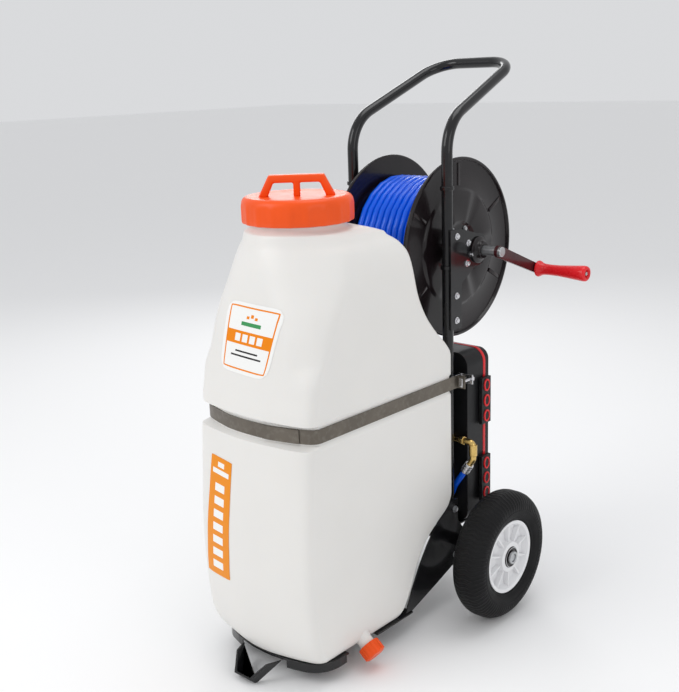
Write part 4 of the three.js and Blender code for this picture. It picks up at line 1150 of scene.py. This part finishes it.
# ---------------------------------------------------------------- reel
@dataclass
class Reel:
    """Hose reel with its wound hose, brackets, inlet and crank."""

    shop: Workshop
    centre: tuple[float, float, float] = (0.0, 82.0, 750.0)
    flange_r: float = 183.0
    half: float = 86.0
    dish: float = 6.0
    drum_r: float = 83.0
    shaft_r: float = 10.0
    hose_d: float = 14.5
    turns: int = 11
    layers: int = 4
    crank_x: float = 181.0
    crank_arm: float = 153.0
    crank_drop: float = 21.5
    crank_thick: float = 6.0
    grip_length: float = 116.0
    grip_r: float = 15.0
    connector: tuple[float, float] = (76.0, 134.5)
    connector_turn: float = -82.0
    bolt_circle: float = 42.0
    flange_ribs: int = 6
    bracket_face: float = 135.4
    bracket_bolts: tuple[Point, ...] = ((8, 618), (8, 668), (10, 786), (44, 728), (48, 768), (60, 745))

    def build(self) -> None:
        """Builds every piece of the reel but the hose, which is laid first."""
        self.drum()
        self.flanges()
        self.brackets()
        self.crank()

    def wind_hose(self) -> None:
        x_end, rho = self.connector
        end_angle = math.radians(self.connector_turn)
        first_layer = self.drum_r + GAP + self.hose_d / 2
        pitch = (x_end * 2) / (self.turns - 1)
        per_turn = 24
        stops: list[Vector] = []
        total = self.turns * self.layers
        for layer in range(self.layers):
            radius = first_layer + layer * (rho - first_layer) / (self.layers - 1)
            way = 1 if (self.layers - 1 - layer) % 2 == 0 else -1
            for k in range(self.turns * per_turn):
                done = k / per_turn
                angle = end_angle - FULL_TURN * (total - layer * self.turns - done)
                across = min(done, self.turns - 1)
                x = way * (-x_end + across * pitch)
                stops.append(Vector((x, radius * math.cos(angle), radius * math.sin(angle))))
        stops.append(Matrix.Rotation(end_angle, 3, "X") @ Vector((x_end, rho, 0)))
        middle = Vector(self.centre)
        path = [p + middle for p in stops]
        hose = self.shop.line(path, self.hose_d / 2, "wound_hose", "reel", HOSE_BLUE, ["hose_winding"],
                              sides=3, keep_curve=True)
        fitting = self.shop.refine("hose_connector", "reel", BRASS, 0.6)
        self.shop.declare_cord(hose, path, self.hose_d, "connector", "medium", "coiled", [fitting])

    def drum(self) -> None:
        """Drum and shaft."""
        self.shop.refine("reel_drum", "reel", REEL_ENAMEL, 0.0)
        self.shop.refine("reel_shaft", "reel", ZINC_STEEL, 1.2)

    def flange_profile(self) -> list[tuple[float, float]]:
        """Section of the pressed right flange, from hub to rolled rim and back."""
        h, r, d = self.half, self.flange_r, self.dish
        rim = []
        for k in range(9):
            a = math.radians(-90 + 22.5 * k)
            rim.append((h + 3.5 + 3.5 * math.sin(a), r - 3.5 + 3.5 * math.cos(a)))
        return ([(h, self.shaft_r + GAP), (h, r - 4)] + rim
                + [(h + 7, r - 6), (h + 2.4, r - 8), (h + 2, r - 11), (h + 2, r * 0.67), (h + 3, r * 0.655),
                   (h + d - 0.6, r * 0.635), (h + d, r * 0.62), (h + d, r * 0.31), (h + d - 0.8, r * 0.295),
                   (h + 2.6, r * 0.265), (h + 2, r * 0.25), (h + 2, self.shaft_r + GAP)])

    def flanges(self) -> None:
        """Two pressed flanges with raised rings, radial ribs and bolts."""
        for side_name, side in SIDES:
            bm = lathe(self.flange_profile(), "x", (0, 0, 0), 96)
            for vert in bm.verts:
                reach = vert.co.yz.length
                if vert.co.x > self.half + 1.5 and 0.3 * self.flange_r < reach < 0.64 * self.flange_r:
                    swing = math.cos(self.flange_ribs * math.atan2(vert.co.z, vert.co.y))
                    vert.co.x -= 2.6 * max(0.0, swing - 0.55) / 0.45
            for k in range(self.flange_ribs):
                a = FULL_TURN * (k + 0.5) / self.flange_ribs
                rib = block((self.half + 1.8, self.half + 3.6), (0.69 * self.flange_r, self.flange_r - 12),
                            (-4, 4), 0.8)
                turned(rib, a, "X", (0, 0, 0))
                merge(bm, rib)
            if side < 0:
                bmesh.ops.scale(bm, vec=(-1, 1, 1), verts=bm.verts)
            bmesh.ops.translate(bm, vec=Vector(self.centre), verts=bm.verts)
            self.shop.place(bm, f"flange_{side_name}", "reel", REEL_ENAMEL, [f"reel_flange_{side_name}"])
            self.flange_bolts(side_name, side)

    def flange_bolts(self, side_name: str, side: int) -> None:
        """Tie-rod bolts that hold a flange to the drum."""
        heads = []
        for k in range(self.flange_ribs):
            a = FULL_TURN * k / self.flange_ribs
            y = self.centre[1] + self.bolt_circle * math.cos(a)
            z = self.centre[2] + self.bolt_circle * math.sin(a)
            heads.append(hexagon_bolt((side * (self.half + 2), y, z), side, 4.5, 3.0))
        self.shop.place(merge(*heads), f"flange_bolts_{side_name}", "reel", ZINC_STEEL)

    def brackets(self) -> None:
        """Bearing brackets on the posts, bearings, bolts and the inlet."""
        for side_name, side in SIDES:
            self.shop.refine(f"reel_bracket_{side_name}", "frame", BLACK_PAINT, 0.8)
            self.shop.refine(f"reel_bearing_{side_name}", "frame", REEL_ENAMEL, 0.8)
            heads = [hexagon_bolt((side * self.bracket_face, y, z), side, 5.0, 3.6)
                     for y, z in self.bracket_bolts]
            self.shop.place(merge(*heads), f"bracket_bolts_{side_name}", "frame", BRIGHT_STEEL)
        self.shop.refine("swivel_inlet", "frame", BRASS, 0.7)

    def crank(self) -> None:
        """Flat arm, pin and the waisted red grip."""
        self.shop.refine("crank_arm", "reel", ARM_PAINT, 1.0)
        self.shop.refine("crank_pin", "reel", ZINC_STEEL, 0.5)
        start = self.crank_x + self.crank_thick + GAP
        end = start + self.grip_length
        r = self.grip_r
        bore = 4 + GAP
        profile = [(start + 1, bore), (start + 1, r), (start + 2, r + 1.6), (start + 4, r + 2),
                   (start + 7, r + 1), (start + 11, r - 1.5), (start + 18, r - 3.4),
                   (start + 32, r - 4), (start + 52, r - 3.6), (start + 72, r - 2),
                   (start + 88, r - 0.6), (end - 14, r + 0.6), (end - 8, r + 1), (end - 3, r + 0.4),
                   (end - 0.8, r - 1), (end, r - 2.6), (end, r - 5), (end - 2, r - 6.4), (end - 12, bore)]
        bm = lathe(profile, "x", (0, self.crank_arm, 0), 56)
        parked = turned(bm, math.radians(-self.crank_drop), "X", self.centre)
        self.shop.place(parked, "grip", "grip", RED_PLASTIC, ["crank_grip"])


# ---------------------------------------------------------------- power case
@dataclass
class PowerCase:
    """Clamshell case with its latches, switch and contents."""

    shop: Workshop
    latch_height: float = 100.0
    latch_face: float = 151.5
    latch_middle: float = 88.0
    latch_lows: tuple[float, float] = (212.0, 384.0)

    def build(self) -> None:
        """Builds the case and everything on and in it."""
        self.shop.refine("case_body", "frame", CASE_PLASTIC, 1.6, segments=3)
        self.shop.refine("case_band", "frame", RED_PLASTIC, 1.0)
        self.shop.refine("case_lid", "lid", CASE_PLASTIC, 2.5, segments=3)
        self.shop.refine("battery", "frame", GREY_PLASTIC, 4.0, segments=3)
        self.shop.refine("pump_motor", "frame", MOTOR_STEEL, 2.0)
        self.shop.refine("pump_head", "frame", CASE_PLASTIC, 3.0)
        self.shop.refine("power_switch", "switch", RED_PLASTIC, 0.8)
        for name, low in zip(("lower", "upper"), self.latch_lows):
            self.shop.refine(f"latch_{name}", f"latch_{name}", CASE_PLASTIC, 1.2)
            self.latch_rings(name, low)

    def latch_rings(self, name: str, low: float) -> None:
        """Three red oval rings on a latch.

        Args:
            name: lower or upper.
            low: the latch's lower edge.
        """
        pitch = self.latch_height / 3
        rings = []
        for k in range(3):
            middle_z = low + (k + 0.5) * pitch
            loops = []
            for grow, x in ((0, 0.0), (0, 3.6), (0.7, 4.2), (2.9, 4.2), (3.6, 3.6), (3.6, 0.0)):
                loops.append([Vector((self.latch_face + x,
                                      self.latch_middle + (6.5 + grow) * math.cos(t),
                                      middle_z + (9.5 + grow) * math.sin(t)))
                              for t in (FULL_TURN * i / 28 for i in range(28))])
            rings.append(skin(bmesh.new(), loops, cap_ends=False, wrap=True))
        self.shop.place(merge(*rings), f"latch_rings_{name}", f"latch_{name}", RED_PLASTIC)


# ---------------------------------------------------------------- outlet and fixed hoses
@dataclass
class Plumbing:
    """Brass outlet, ferrule, supply hose to the reel and suction hose from the tank."""

    shop: Workshop
    pipe: tuple[float, float, float] = (108.0, 21.0, 362.0)
    nut_x: float = 134.5
    elbow_x: float = 166.0
    bend_z: float = 326.0
    tilt: float = 34.0
    case_front: float = 34.0
    swivel_x: float = -166.45
    reel_axis: tuple[float, float] = (82.0, 750.0)
    tank_outlet: tuple[float, float, float] = (-60.0, -96.0, 122.0)

    def hose_end(self, distance: float) -> tuple[float, float, float]:
        """A point on the tilted line below the elbow."""
        a = math.radians(self.tilt)
        return (self.elbow_x - distance * math.sin(a), self.pipe[1], self.bend_z - distance * math.cos(a))

    def lay_hoses(self) -> None:
        y, z = self.reel_axis
        supply = rounded_route([
            self.hose_end(38 + GAP),
            (*self.hose_end(84), 60),
            (self.elbow_x - 66, 23, 206, 60),
            (0, 24, 202, 200),
            (-178, 22, 232, 60),
            (-176, 26, 480, 90),
            (self.swivel_x, y, 600, 90),
            (self.swivel_x, y, z - 34 - GAP),
        ])
        ferrule = self.shop.refine("hose_ferrule", "frame", BRIGHT_STEEL, 0.8)
        hose = self.shop.line(supply, 6.5, "supply_hose_line", "frame", HOSE_BLUE, ["supply_hose"],
                              sides=4, keep_curve=True)
        self.shop.declare_cord(hose, supply, 13.0, "object", "medium", "loose", [ferrule])
        x, end, low = self.tank_outlet
        suction = rounded_route([
            (x, end + GAP, low),
            (x, -2, low, 56),
            (x, -2, 252, 28),
            (x, self.case_front - GAP, 252),
        ])
        pipe = self.shop.line(suction, 7.0, "suction_hose_line", "frame", HOSE_BLACK, ["suction_hose"],
                              sides=4, keep_curve=True)
        self.shop.declare_cord(pipe, suction, 14.0, "object", "stiff", "loose")

    def build(self) -> None:
        """Brass pipe, swivel nut and elbow."""
        x, y, z = self.pipe
        run = rounded_route([(x, self.case_front - GAP, z), (x, y, z, 6), (self.nut_x - GAP, y, z)], 8)
        self.shop.line(run, 6.0, "outlet_pipe_line", "frame", BRASS, ["outlet_pipe"], sides=6)
        self.shop.refine("outlet_nut", "frame", BRASS, 0.9)
        elbow = rounded_route([(self.nut_x + 10 + GAP, y, z), (self.elbow_x, y, z, 9),
                               (self.elbow_x, y, self.bend_z, 12), self.hose_end(14)], 8)
        self.shop.line(elbow, 6.5, "elbow_line", "frame", BRASS, ["outlet_elbow"], sides=6)
        body = bmesh.new()
        bmesh.ops.create_cone(body, cap_ends=True, segments=32, radius1=8.5, radius2=8.5, depth=24)
        rims = [e for e in body.edges if len(e.link_faces) == 2 and e.calc_face_angle() > 1]
        round_edges(body, rims, 1.2, 3)
        bmesh.ops.translate(body, vec=(self.elbow_x, y, self.bend_z + 20), verts=body.verts)
        self.shop.place(body, "elbow_body", "frame", BRASS)
        self.ferrule_rings()

    def ferrule_rings(self) -> None:
        """Crimp rings round the ferrule."""
        a = math.radians(self.tilt)
        rings = []
        for distance in (18, 25, 32):
            ring = lathe([(-1.4, 8.6), (-1.4, 9.5), (0, 9.9), (1.4, 9.5), (1.4, 8.6)], "z", (0, 0, 0), 32)
            rings.append(turned(ring, a, "Y", self.hose_end(distance)))
        self.shop.place(merge(*rings), "ferrule_rings", "frame", BRIGHT_STEEL)


# ---------------------------------------------------------------- wheels
@dataclass
class Wheels:
    """Pneumatic wheels with moulded rims and ball bearings."""

    shop: Workshop
    x: float = 228.0
    axle_y: float = 25.0
    radius: float = 133.0
    tyre_w: float = 72.0
    rim_r: float = 76.0
    rim_w: float = 58.0
    bearing_r: float = 22.0
    axle_r: float = 8.0
    ribs: int = 10

    def build(self) -> None:
        """Builds both wheels."""
        for side_name, side in SIDES:
            self.tyre(side_name, side)
            self.rim(side_name, side)
            self.bearing(side_name, side)
            self.shop.refine(f"axle_spacer_{side_name}", "frame", REEL_ENAMEL, 0.6)
            self.shop.refine(f"axle_washer_{side_name}", "frame", ZINC_STEEL, 0.8)

    def middle(self, side: int) -> tuple[float, float, float]:
        """Centre of a wheel."""
        return (side * self.x, self.axle_y, self.radius)

    def tyre(self, side_name: str, side: int) -> None:
        """Round-shouldered tyre with a bead ring and fine grooves."""
        w, r, rim = self.tyre_w / 2, self.radius, self.rim_r
        half = [(0, r), (8, r), (15, r - 1.2), (21, r - 4), (27, r - 8.5), (31.5, r - 15), (w - 1.2, r - 22),
                (w, r - 30), (w - 0.5, rim + 22), (w - 2.6, rim + 14), (w - 5, rim + 9), (w - 6.4, rim + 7.4),
                (w - 7, rim + 4), (self.rim_w / 2 - 4, rim + GAP)]
        profile = [(-a, b) for a, b in half[:0:-1]] + half
        bm = lathe(profile, "x", self.middle(side), 128)
        shoulder = lathe([(w - 3.2, r - 36), (w, r - 35), (w, r - 33.4), (w - 3.2, r - 32)], "x",
                         (0, 0, 0), 96)
        if side < 0:
            bmesh.ops.scale(shoulder, vec=(-1, 1, 1), verts=shoulder.verts)
        bmesh.ops.translate(shoulder, vec=Vector(self.middle(side)), verts=shoulder.verts)
        where = self.shop.datum.at(*self.middle(side))
        rubber = Treaded(f"tyre_rubber_{side_name}", "tyre_rubber", (0.009, 0.009, 0.0095), 0.55,
                         centre=tuple(where), tread_radius=r - 32, **TYRE_SPOTS)
        self.shop.place(merge(bm, shoulder), f"tyre_{side_name}_finished", f"wheel_{side_name}", rubber,
                        [f"tyre_{side_name}"])

    def rim(self, side_name: str, side: int) -> None:
        """White moulded rim: flanged barrel, dished web, hub boss and radial ribs."""
        w, r, hub = self.rim_w / 2, self.rim_r, self.bearing_r + GAP
        half = [(w, hub), (w, hub + 7), (w - 1, hub + 9), (w - 13, hub + 12), (w - 15, hub + 14),
                (w - 17, r - 18), (w - 15, r - 13), (w - 5, r - 8), (w - 3, r - 7), (w - 2, r - 5),
                (w - 2, r)]
        profile = [(-a, b) for a, b in half[::-1]] + half
        bm = lathe(profile, "x", (0, 0, 0), 96)
        for face in (1, -1):
            for k in range(self.ribs):
                rib = block((w - 18, w - 5), (-2, 2), (hub + 6, r - 9), 0.8)
                turned(rib, FULL_TURN * k / self.ribs, "X", (0, 0, 0))
                if face < 0:
                    bmesh.ops.scale(rib, vec=(-1, 1, 1), verts=rib.verts)
                merge(bm, rib)
        bmesh.ops.translate(bm, vec=Vector(self.middle(side)), verts=bm.verts)
        self.shop.place(bm, f"rim_{side_name}_finished", f"wheel_{side_name}", RIM_PLASTIC,
                        [f"rim_{side_name}"], soft_angle=30)

    def bearing(self, side_name: str, side: int) -> None:
        """Ball bearing with a black shield between bright races."""
        w = self.rim_w / 2 + 2
        inner, outer = self.axle_r + GAP, self.bearing_r
        half = [(w - 1.5, outer), (w, outer - 0.8), (w, outer - 3), (w - 1, outer - 3.4), (w - 1, inner + 4),
                (w, inner + 3.6), (w, inner)]
        profile = [(-a, b) for a, b in half] + half[::-1]
        bm = lathe(profile, "x", self.middle(side), 56)
        self.shop.place(bm, f"bearing_{side_name}_finished", f"wheel_{side_name}", REEL_ENAMEL,
                        [f"bearing_{side_name}"])
        races = [lathe([(-w - 0.1, low), (-w - 0.1, high), (w + 0.1, high), (w + 0.1, low)], "x",
                       self.middle(side), 56)
                 for low, high in ((outer - 2.4, outer - 0.9), (inner + 0.2, inner + 2.6))]
        self.shop.place(merge(*races), f"bearing_races_{side_name}", f"wheel_{side_name}", ZINC_STEEL)


# ---------------------------------------------------------------- studio
@dataclass
class Studio:
    """Floor, soft lights and the camera."""

    datum: Datum
    eye: tuple[float, float, float] = (1297.9, -1607.4, 1096.3)
    azimuth: float = 42.52
    elevation: float = 14.81
    roll: float = -1.982
    lens: float = 53.08

    def camera(self) -> None:
        """Places the camera at the viewing angle."""
        az, el, roll = (math.radians(a) for a in (self.azimuth, self.elevation, self.roll))
        ahead = Vector((-math.sin(az) * math.cos(el), math.cos(az) * math.cos(el), -math.sin(el)))
        level = Vector((math.cos(az), math.sin(az), 0))
        rise = level.cross(ahead)
        right = level * math.cos(roll) + rise * math.sin(roll)
        up = rise * math.cos(roll) - level * math.sin(roll)
        data = bpy.data.cameras.new("camera")
        data.lens = self.lens
        data.sensor_width = 36.0
        data.clip_end = 50.0
        camera = bpy.data.objects.new("camera", data)
        bpy.context.scene.collection.objects.link(camera)
        camera.matrix_world = Matrix.Translation(self.datum.at(*self.eye)) @ Matrix(
            (right, up, -ahead)).transposed().to_4x4()
        bpy.context.scene.camera = camera

    def floor(self) -> None:
        """A wide pale floor under the cart."""
        bm = bmesh.new()
        bmesh.ops.create_grid(bm, x_segments=1, y_segments=1, size=30.0)
        bmesh.ops.translate(bm, vec=(0, 0, -0.0005), verts=bm.verts)
        mesh = bpy.data.meshes.new("floor")
        bm.to_mesh(mesh)
        bm.free()
        floor = bpy.data.objects.new("floor", mesh)
        bpy.context.scene.collection.objects.link(floor)
        material = bpy.data.materials.new("floor_paper")
        material.use_nodes = True
        shader = material.node_tree.nodes["Principled BSDF"]
        shader.inputs["Base Color"].default_value = (0.92, 0.92, 0.92, 1)
        shader.inputs["Roughness"].default_value = 0.9
        mesh.materials.append(material)

    def lamp(self, name: str, spot: Point, size: float, power: float) -> None:
        """A square soft light aimed at the middle of the cart.

        Args:
            name: light name.
            spot: place in cart millimetres.
            size: side in metres.
            power: watts.
        """
        data = bpy.data.lights.new(name, "AREA")
        data.energy = power
        data.size = size
        lamp = bpy.data.objects.new(name, data)
        bpy.context.scene.collection.objects.link(lamp)
        place = self.datum.at(*spot)
        aim = self.datum.at(0, -100, 550) - place
        lamp.matrix_world = Matrix.Translation(place) @ aim.to_track_quat("-Z", "Y").to_matrix().to_4x4()

    def lights(self) -> None:
        """Key, fill and back lights in a pale room."""
        self.lamp("key", (-900, -2500, 2300), 1.6, 26)
        self.lamp("fill", (2600, -500, 1500), 1.4, 7)
        self.lamp("top", (200, 300, 2900), 1.4, 14)
        self.lamp("back", (-2000, 1800, 1800), 1.2, 12)
        world = bpy.data.worlds.new("room")
        world.use_nodes = True
        world.node_tree.nodes["Background"].inputs["Color"].default_value = (0.97, 0.98, 1.0, 1)
        world.node_tree.nodes["Background"].inputs["Strength"].default_value = 0.72
        bpy.context.scene.world = world
        bpy.context.scene.view_settings.view_transform = "Standard"


def main() -> None:
    """Builds the studio, the cords and every sub-assembly in order."""
    logging.basicConfig(level=logging.INFO, format="%(message)s")
    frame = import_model()
    datum = Datum.from_frame(axle_y=25.0)
    shop = Workshop(datum, frame["nodes"])
    studio = Studio(datum)
    studio.camera()
    reel = Reel(shop)
    plumbing = Plumbing(shop)
    reel.wind_hose()
    plumbing.lay_hoses()
    for assembly in (Chassis(shop), Tank(shop), reel, PowerCase(shop), plumbing, Wheels(shop)):
        assembly.build()
        LOG.info("%s done", type(assembly).__name__)
    studio.floor()
    studio.lights()
    bpy.context.view_layer.update()


if __name__ == "__main__":
    main()
